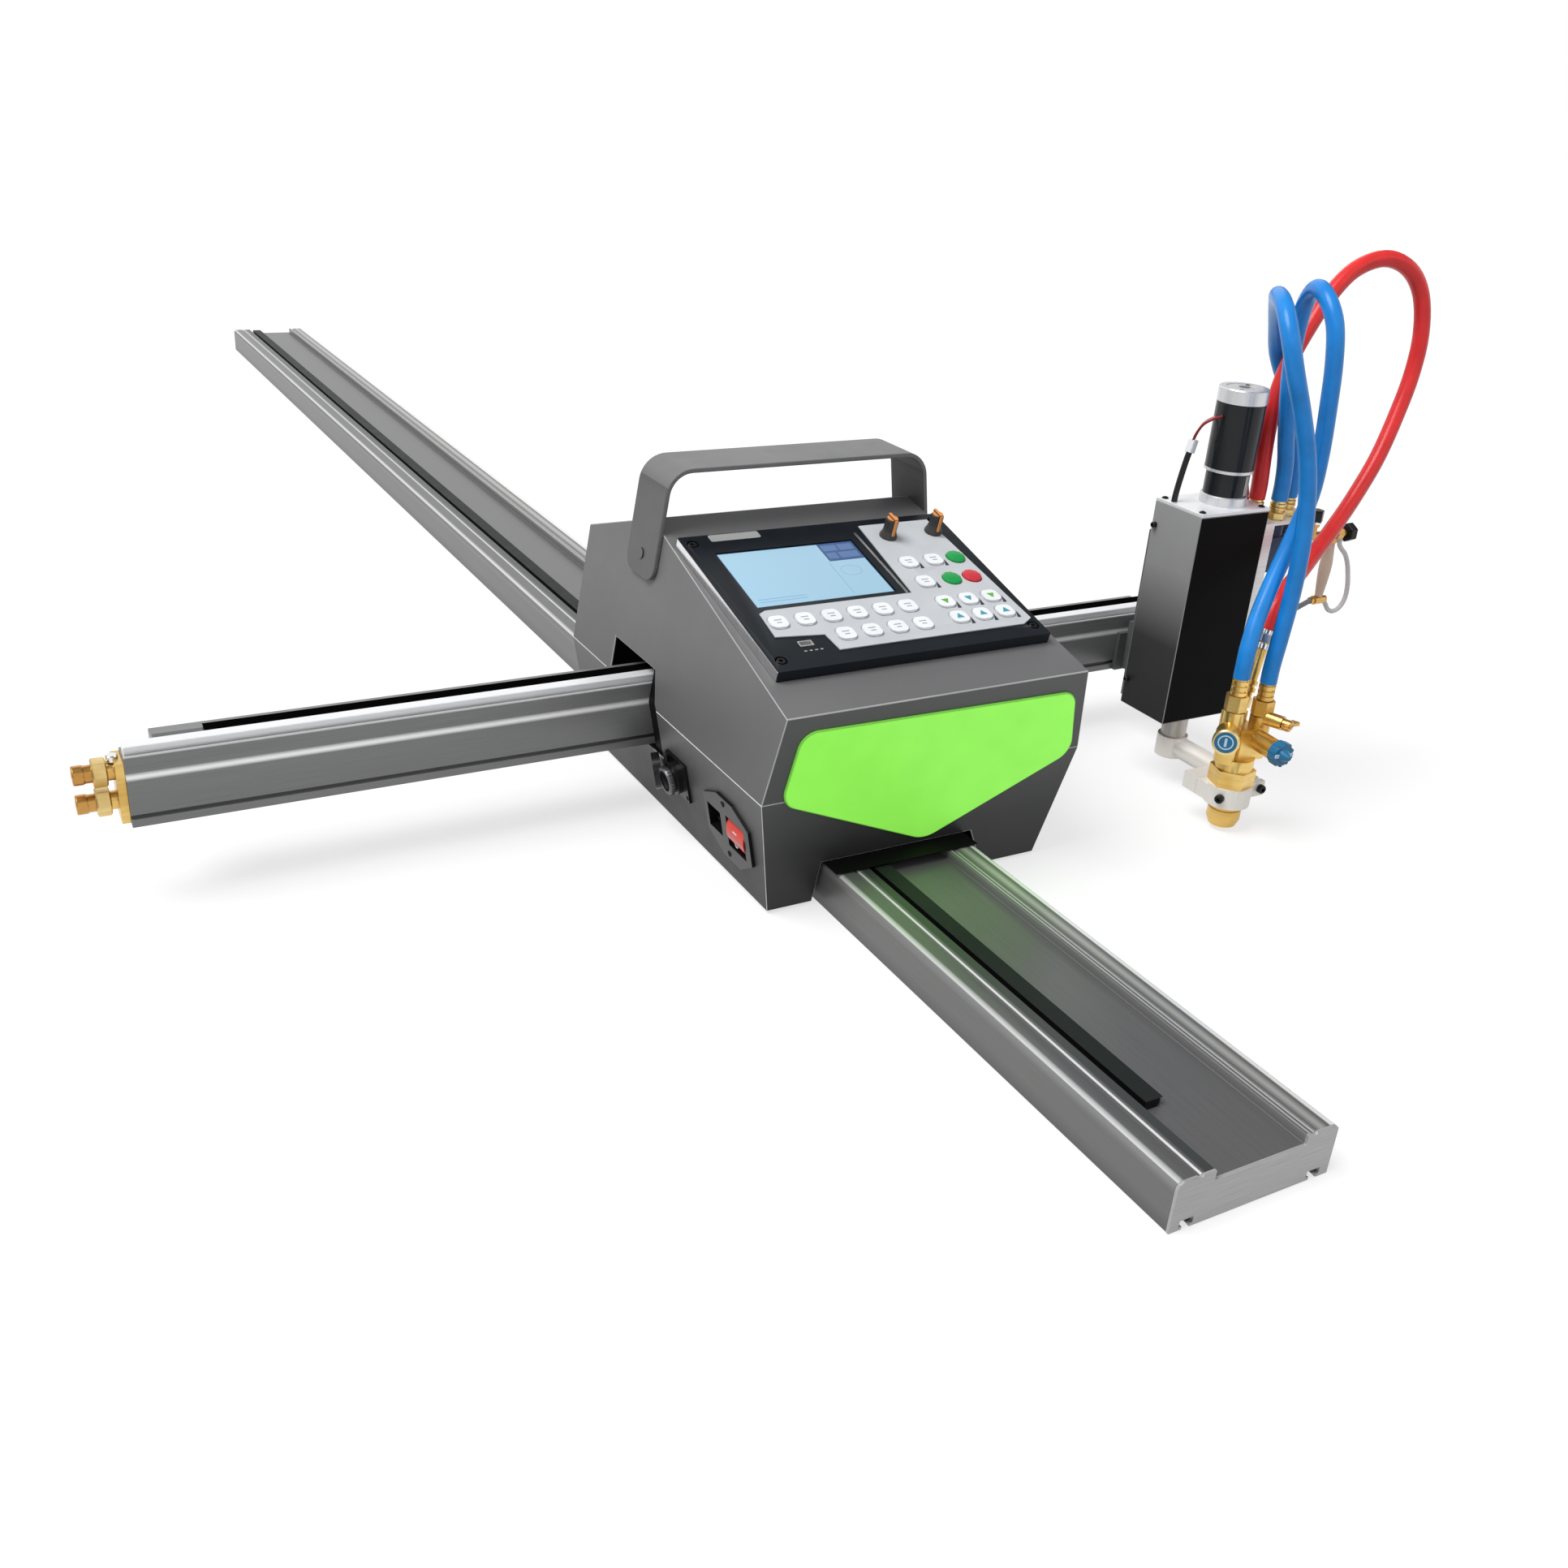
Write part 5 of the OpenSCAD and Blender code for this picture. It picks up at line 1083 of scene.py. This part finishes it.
class CUTTER_OT_valves(bpy.types.Operator):
    """Dresses the solenoid valves, their plate, the hose fittings and the needle valve"""

    bl_idname = "cutter.valves"
    bl_label = "Gas valves"

    def execute(self, context):
        dressed("valve_bracket", "plate alloy", 0.5)
        dressed("gas_valves", "coil blue", 1.2, 3)
        self.fittings()
        self.needle_valve()
        return {"FINISHED"}

    def fittings(self):
        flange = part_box("valve_bracket")[1].z / MM
        bm = bmesh.new()
        for way in (OXYGEN_WAY, CUTTING_WAY, FUEL_WAY):
            here = shifted(*way[0][:2], flange)
            nut(bm, 19.6, 1.0, 8.0, here)
            turned(bm, [(0, -3), (5, -3), (5, 0), (9.4, 0), (9.4, 1)], here, 32)
            turned(bm, [(7.6, 8), (7.6, 11), (9.4, 11.6), (9.4, 14), (7.8, 15), (9.4, 16), (9.4, 18.5),
                        (8, 19.5), (8, 22), (0, 22)], here, 32)
        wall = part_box("valve_bracket")[0].x / MM
        side = shifted(wall + 10.3, LIFTER_LOW.y / MM + 16, LIFTER_LOW.z / MM + 98)
        nut(bm, 13.6, 30, 46, side)
        turned(bm, [(0, 0), (5.5, 0), (6.8, 1.2), (6.8, 9), (5.2, 10), (5.2, 18), (6.6, 19), (6.6, 27),
                    (5.4, 28), (5.4, 30.5), (0, 30.5)], side, 28)
        turned(bm, [(0, 45), (5, 45), (5, 48), (0, 48)], side, 28)
        settle("hose_tail_nuts", closed(bm), "pale brass", "beam", ("hose_fittings",),
               bevel=0.2 * MM)

    def needle_valve(self):
        here = joint_place("needle_knob_turn")
        end = here.translation
        bm = bmesh.new()
        turned(bm, [(0, -5), (3, -5), (3, 0.3), (8, 0.3), (11.6, 1.6), (12, 3), (12, 10), (11, 12),
                    (0, 12.2)], here, 6)
        settle("needle_grip", closed(bm), "socket black", "needle_knob", ("needle_knob",), 20.0,
               0.8 * MM)
        bm = bmesh.new()
        turned(bm, [(0, -98), (5.2, -98), (5.2, -9), (4.4, -8), (4.4, -0.4), (3.2, -0.4), (3.2, -6), (0, -6)],
               here, 28)
        nut(bm, 12.4, -97.8, -86, here)
        nut(bm, 12.4, -16, -6, here)
        tap = Matrix.Translation(end + Vector((-20.5, 0, -84)) * MM)
        bleed = Matrix.Translation(end + Vector((-56.5, 0, 0)) * MM)
        turned(bm, [(0, 0), (4.6, 0), (4.6, 12), (6.4, 13), (6.4, 17), (0, 17)], bleed, 24)
        nut(bm, 13, 74, 80, tap)
        settle("gas_line_pipe", closed(bm), "worn brass", "beam", bevel=0.2 * MM)
        bm = bmesh.new()
        turned(bm, [(0, 16.8), (7.6, 16.8), (7.6, 19.6), (0, 19.6)], bleed, 32)
        settle("bleed_ring", closed(bm), "plated", "beam")
        bm = bmesh.new()
        nut(bm, 15.4, 19.4, 32.5, bleed)
        settle("bleed_cap", closed(bm), "socket black", "beam", bevel=0.5 * MM)
        bm = bmesh.new()
        turned(bm, [(0, 4), (4.6, 4), (5.2, 10), (6.4, 22), (7.6, 38), (7.6, 48), (6.2, 62), (5.2, 74.4),
                    (0, 74.4)], tap, 28)
        settle("drain_tap", closed(bm), "tan lever", "beam")
        bm = bmesh.new()
        across = tap @ turned_by(90, "Y")
        turned(bm, [(0, -14), (4.2, -14), (4.2, -9), (5.6, -8.4), (5.6, 6.4), (4.2, 7), (4.2, 12), (0, 12)],
               across, 28)
        settle("drain_joint", closed(bm), "worn brass", "beam")
        bm = bmesh.new()
        stub = facing(end + Vector((-34, 0, -84)) * MM, (-1, 0, -0.35), (0, 1, 0))
        turned(bm, [(0, -1), (3.2, -1), (3.2, 30), (2.4, 31), (0, 31)], stub, 20)
        settle("drain_stub", closed(bm), "primer", "beam")


class CUTTER_OT_torch(bpy.types.Operator):
    """Dresses the torch: body, nozzle, nuts, blue valve knobs, wing valve, clamp and arm"""

    bl_idname = "cutter.torch"
    bl_label = "Torch"

    def execute(self, context):
        dressed("torch_body", "brass", 0.9)
        dressed("torch_clamp", "cast alloy", 1.4, 3)
        dressed("torch_arm", "cast alloy", 1.2, 3)
        self.nozzle()
        self.fuel_fitting()
        self.knobs()
        self.clamp_screws()
        return {"FINISHED"}

    def nozzle(self):
        axis = Matrix.Translation(Vector((TORCH_AXIS.x, TORCH_AXIS.y, 0)))
        low, high = NOZZLE_LOW.z / MM, NOZZLE_HIGH.z / MM
        bm = bmesh.new()
        turned(bm, [(3, low + 8), (3, low), (10, low), (10.6, low + 0.6), (13.2, low), (15.8, low + 0.8),
                    (18.2, low + 7), (19, low + 9), (19, high - 7), (17.6, high - 6), (17.6, high - 4.4),
                    (19, high - 3.6), (19, high), (0, high), (0, low + 8), (3, low + 8)], axis, 48)
        settle("nozzle_nut", closed(bm), "brass", "torch", ("cutting_nozzle",))

    def fuel_fitting(self):
        end, before = Vector(FUEL_WAY[-1]), Vector(FUEL_WAY[-2])
        here = facing(end * MM, before - end, (1, 0, 0))
        bm = bmesh.new()
        nut(bm, 18.2, -14.6, -5.8, here)
        turned(bm, [(8.2, -23), (10.4, -22.6), (10.4, -16.8), (8.2, -16.4), (8.2, -23)], here, 32)
        turned(bm, [(8.1, -5.6), (9.2, -5.2), (9.2, -0.6), (8.1, -0.5), (8.1, -5.6)], here, 32)
        settle("fuel_tail_fitting", closed(bm), "plated", "torch", bevel=0.3 * MM)

    def knobs(self):
        here = joint_place("preheat_knob_turn")
        bm = bmesh.new()
        turned(bm, [(0, 13), (4, 13), (4, 22.3), (14.2, 22.3), (15, 23.2), (15, 29), (13.6, 30), (12.4, 30)],
               here, 40)
        turned(bm, [(12.4, 30), (12.4, 29), (0, 29)], here, 40)
        settle("preheat_dial", closed(bm), "pale brass", "preheat_knob", ("preheat_knob",))
        bm = bmesh.new()
        turned(bm, [(0, 28.9), (12.2, 28.9), (12.2, 29.5), (0, 29.6)], here, 40)
        settle("preheat_face", closed(bm), "valve blue", "preheat_knob")
        bm = bmesh.new()
        turned(bm, [(7.2, 29.4), (8.6, 29.4), (8.6, 29.9), (7.2, 29.9), (7.2, 29.4)], here, 32)
        box(bm, (-5, -1.4, 29.4), (5, 1.4, 30.0), here, 0.6)
        settle("preheat_ring", closed(bm), "dial white", "preheat_knob")

        here = joint_place("fuel_knob_turn")
        bm = bmesh.new()
        turned(bm, [(0, 25), (4, 25), (4, 34.3), (12.6, 34.3), (14, 35.6), (14, 44), (12.6, 46.2), (8, 46.2),
                    (6.4, 49), (2.2, 56), (0, 56.4)], here, 36)
        for turn in range(10):
            rib = here @ turned_by(36 * turn)
            box(bm, (13.0, -1.5, 35.8), (14.5, 1.5, 45.4), rib, 0.4)
        settle("fuel_grip", closed(bm), "valve blue", "fuel_knob", ("fuel_knob",))
        bm = bmesh.new()
        box(bm, (-2, -12.4, 46.0), (2, 12.4, 47.4), here, 0.8)
        settle("fuel_pointer", closed(bm), "dial white", "fuel_knob")

        here = joint_place("wing_valve_turn")
        bm = bmesh.new()
        turned(bm, [(0, 15), (3, 15), (3, 24.3), (6, 24.3), (6, 33), (4.4, 35), (0, 35)], here, 24)
        out = 24
        half = [(4.5, out + 3), (8, out + 5), (14.6, out + 4), (15, out + 12), (13, out + 14.5),
                (6, out + 11)]
        wings = [(-4.5, out + 3)] + half + [(-x, y) for x, y in half[:0:-1]]
        upright = here @ turned_by(90) @ turned_by(90, "X")
        prism(bm, wings, -1.9, 1.9, upright, 0.8)
        settle("wing_grip", closed(bm), "worn brass", "wing_valve", ("wing_valve",), bevel=0.3 * MM)

    def clamp_screws(self):
        bm = bmesh.new()
        for place, toward in (
            (Vector((TORCH_AXIS.x - 0.0232, TORCH_AXIS.y - 0.0115, 0.0455)), (-0.9, -0.44, 0)),
            (Vector((TORCH_AXIS.x + 0.041, TORCH_AXIS.y - 0.009, 0.0455)), (0, -1, 0)),
        ):
            here = facing(place, toward, (0, 0, 1))
            turned(bm, [(0, -0.4), (5.2, -0.4), (5.2, 4.6), (4.4, 5.6), (2.6, 5.6), (2.6, 2.6), (0, 2.6)],
                   here, 28)
        settle("clamp_screws", closed(bm), "black oxide", "torch")


class CUTTER_OT_wiring(bpy.types.Operator):
    """Adds the motor's leads, the cable stub with its connector and the clear tube"""

    bl_idname = "cutter.wiring"
    bl_label = "Leads and tube"
    CONNECTOR = (0.4405, -1.07, 0.399)

    def execute(self, context):
        wire = context.scene.cutter_sizes.wire
        bm = bmesh.new()
        plug = facing(self.CONNECTOR, (0.22, 0, 1), (0, 1, 0))
        box(bm, (-5, -4, 0), (5, 4, 15), plug, 1.6)
        settle("lead_connector", closed(bm), "key white", "beam", bevel=0.6 * MM)
        cords = (
            ("motor_cable", [(431, -1070, 342.8), (431.5, -1070, 352), (433.5, -1070, 366), (436, -1070, 380),
                             (438.5, -1070, 392), (440.5, -1070, 399.6)], 7.0, "wire black", "medium"),
            ("motor_lead_left", [(443.5, -1070, 413), (447, -1070, 421), (453, -1071, 431), (460, -1074, 437),
                                 (466.5, -1078, 440)], wire, "wire pink", "limp"),
            ("motor_lead_front", [(441, -1072, 413), (440, -1076, 422), (442, -1082, 433), (449, -1088, 440),
                                  (460.2, -1090, 443)], wire, "wire red", "limp"),
            ("motor_lead_right", [(514.5, -1078, 398), (522, -1075, 402), (530, -1073, 401),
                                  (536, -1070, 392), (540, -1067, 376), (543, -1068, 358),
                                  (546, -1071, 340), (548, -1073, 322.6)], wire, "wire pink", "limp"),
            ("valve_lead", [(514.2, -1074, 391), (523, -1067, 396), (533, -1063, 394), (546, -1062, 382),
                            (556, -1065, 364), (562, -1070, 344), (564, -1074, 322.6)],
             wire, "wire red", "limp"),
            ("drain_tube", [(693, -1094, 285), (694, -1094, 276), (700, -1094, 269), (709, -1094, 261),
                            (717, -1094, 248), (723, -1094, 232), (727, -1094, 216), (727, -1094, 202),
                            (721, -1094, 191), (711, -1094, 187), (701, -1094, 190), (694, -1094, 198),
                            (687, -1094, 206)], 6.0, "clear tube", "medium"),
        )
        for name, way, thick, coat, stiffness in cords:
            piece, line, length = tube(name, way, thick, coat, 3, 4)
            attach(piece, "beam")
        return {"FINISHED"}


class CUTTER_OT_stage(bpy.types.Operator):
    """Adds the pale floor, the white surroundings and the soft lamps"""

    bl_idname = "cutter.stage"
    bl_label = "Stage"
    FLOOR_HALF = 20.0
    FLOOR_DROP = 0.0006
    SUNS = (("key_sun", (-0.62, 0.06, 1.05), 2.5, 36), ("fill_sun", (-0.25, -1.0, 0.5), 0.28, 85))
    SKY_LIGHT = 0.45
    CARD_SCALE = 1.7
    CARD_TONES = (0.42, 0.55, 0.12, 1.15)

    def execute(self, context):
        bm = bmesh.new()
        bmesh.ops.create_grid(bm, x_segments=2, y_segments=2, size=self.FLOOR_HALF)
        mesh = bpy.data.meshes.new("floor")
        bm.to_mesh(mesh)
        bm.free()
        floor = placed("floor", mesh)
        floor.location.z = -self.FLOOR_DROP
        mesh.materials.append(self.pale_floor())
        self.world(context)
        for name, place, power, soft in self.SUNS:
            light = bpy.data.lights.new(name, "SUN")
            light.energy = power
            light.angle = math.radians(soft)
            lamp = placed(name, light)
            lamp.rotation_mode = "QUATERNION"
            lamp.rotation_quaternion = (-Vector(place)).to_track_quat("-Z", "Y")
        context.scene.view_settings.view_transform = "Standard"
        return {"FINISHED"}

    def pale_floor(self):
        """White to the camera, greyer to the light that bounces off it: upright faces keep their tone."""
        cover = Shades("pale_floor")
        cover.colour(cover.ramp(cover.noise(0.6), [(0.3, (0.33, 0.33, 0.33)), (0.7, (0.35, 0.35, 0.35))]))
        cover.set(Roughness=0.9, Specular_IOR_Level=0.0, Emission_Strength=0.67)
        cover.shader.inputs["Emission Color"].default_value = (1, 1, 1, 1)
        dim = cover.nodes.new("ShaderNodeBsdfDiffuse")
        dim.inputs["Color"].default_value = (0.3, 0.3, 0.3, 1)
        rays, mix = cover.nodes.new("ShaderNodeLightPath"), cover.nodes.new("ShaderNodeMixShader")
        cover.links.new(rays.outputs["Is Diffuse Ray"], mix.inputs[0])
        cover.links.new(cover.shader.outputs[0], mix.inputs[1])
        cover.links.new(dim.outputs[0], mix.inputs[2])
        cover.links.new(mix.outputs[0], cover.nodes["Material Output"].inputs["Surface"])
        return cover.material

    def world(self, context):
        world = bpy.data.worlds.new("white_surroundings")
        context.scene.world = world
        world.use_nodes = True
        nodes, links = world.node_tree.nodes, world.node_tree.links
        nodes.clear()
        seen, lit = nodes.new("ShaderNodeBackground"), nodes.new("ShaderNodeBackground")
        seen.inputs["Strength"].default_value = 1.0
        seen.inputs["Color"].default_value = (1, 1, 1, 1)
        lit.inputs["Strength"].default_value = self.SKY_LIGHT
        lit.inputs["Color"].default_value = (0.97, 0.98, 1.0, 1)
        rays = nodes.new("ShaderNodeLightPath")
        either = nodes.new("ShaderNodeMath")
        either.operation = "MAXIMUM"
        through = nodes.new("ShaderNodeMath")
        through.operation = "MAXIMUM"
        links.new(rays.outputs["Is Camera Ray"], either.inputs[0])
        links.new(rays.outputs["Is Glossy Ray"], either.inputs[1])
        links.new(either.outputs[0], through.inputs[0])
        links.new(rays.outputs["Is Transmission Ray"], through.inputs[1])
        where, cards = nodes.new("ShaderNodeTexCoord"), nodes.new("ShaderNodeTexNoise")
        # A slow noise stands in for the soft boxes of a studio, in reflections only.
        cards.inputs["Scale"].default_value = self.CARD_SCALE
        cards.inputs["Detail"].default_value = 1.0
        links.new(where.outputs["Generated"], cards.inputs["Vector"])
        spread = nodes.new("ShaderNodeMapRange")
        for socket, number in zip(("From Min", "From Max", "To Min", "To Max"), self.CARD_TONES):
            spread.inputs[socket].default_value = number
        links.new(cards.outputs["Fac"], spread.inputs["Value"])
        shone = nodes.new("ShaderNodeMix")
        shone.data_type = "FLOAT"
        shone.inputs[2].default_value = 1.0
        links.new(rays.outputs["Is Glossy Ray"], shone.inputs[0])
        links.new(spread.outputs["Result"], shone.inputs[3])
        links.new(shone.outputs[0], seen.inputs["Strength"])
        mix, out = nodes.new("ShaderNodeMixShader"), nodes.new("ShaderNodeOutputWorld")
        links.new(through.outputs[0], mix.inputs[0])
        links.new(lit.outputs[0], mix.inputs[1])
        links.new(seen.outputs[0], mix.inputs[2])
        links.new(mix.outputs[0], out.inputs["Surface"])


STEPS = (CUTTER_OT_camera, CUTTER_OT_hoses, CUTTER_OT_wiring, CUTTER_OT_rail, CUTTER_OT_body,
         CUTTER_OT_running_gear, CUTTER_OT_panel, CUTTER_OT_panel_knobs, CUTTER_OT_sockets, CUTTER_OT_beam,
         CUTTER_OT_lifter, CUTTER_OT_valves, CUTTER_OT_torch, CUTTER_OT_stage)


class CUTTER_PT_parts(bpy.types.Panel):
    """Lists the steps that build the machine, with its sizes and colours."""

    bl_idname = "CUTTER_PT_parts"
    bl_label = "Cutting machine"
    bl_space_type = "VIEW_3D"
    bl_region_type = "UI"
    bl_category = "Cutting machine"

    def draw(self, context):
        for name in ("hose", "wire", "key", "edge"):
            self.layout.prop(context.scene.cutter_sizes, name)
        for name in ("body", "badge", "blue_hose", "red_hose"):
            self.layout.prop(context.scene.cutter_colours, name)
        for step in STEPS:
            self.layout.operator(step.bl_idname)


CLASSES = (CutterColours, CutterSizes) + STEPS + (CUTTER_PT_parts,)


def register():
    for one in CLASSES:
        bpy.utils.register_class(one)
    bpy.types.Scene.cutter_colours = bpy.props.PointerProperty(type=CutterColours)
    bpy.types.Scene.cutter_sizes = bpy.props.PointerProperty(type=CutterSizes)


def unregister():
    del bpy.types.Scene.cutter_sizes
    del bpy.types.Scene.cutter_colours
    for one in reversed(CLASSES):
        bpy.utils.unregister_class(one)


def main():
    register()
    for step in STEPS:
        group, name = step.bl_idname.split(".")
        getattr(getattr(bpy.ops, group), name)()
    bpy.context.view_layer.update()


if __name__ == "__main__":
    main()
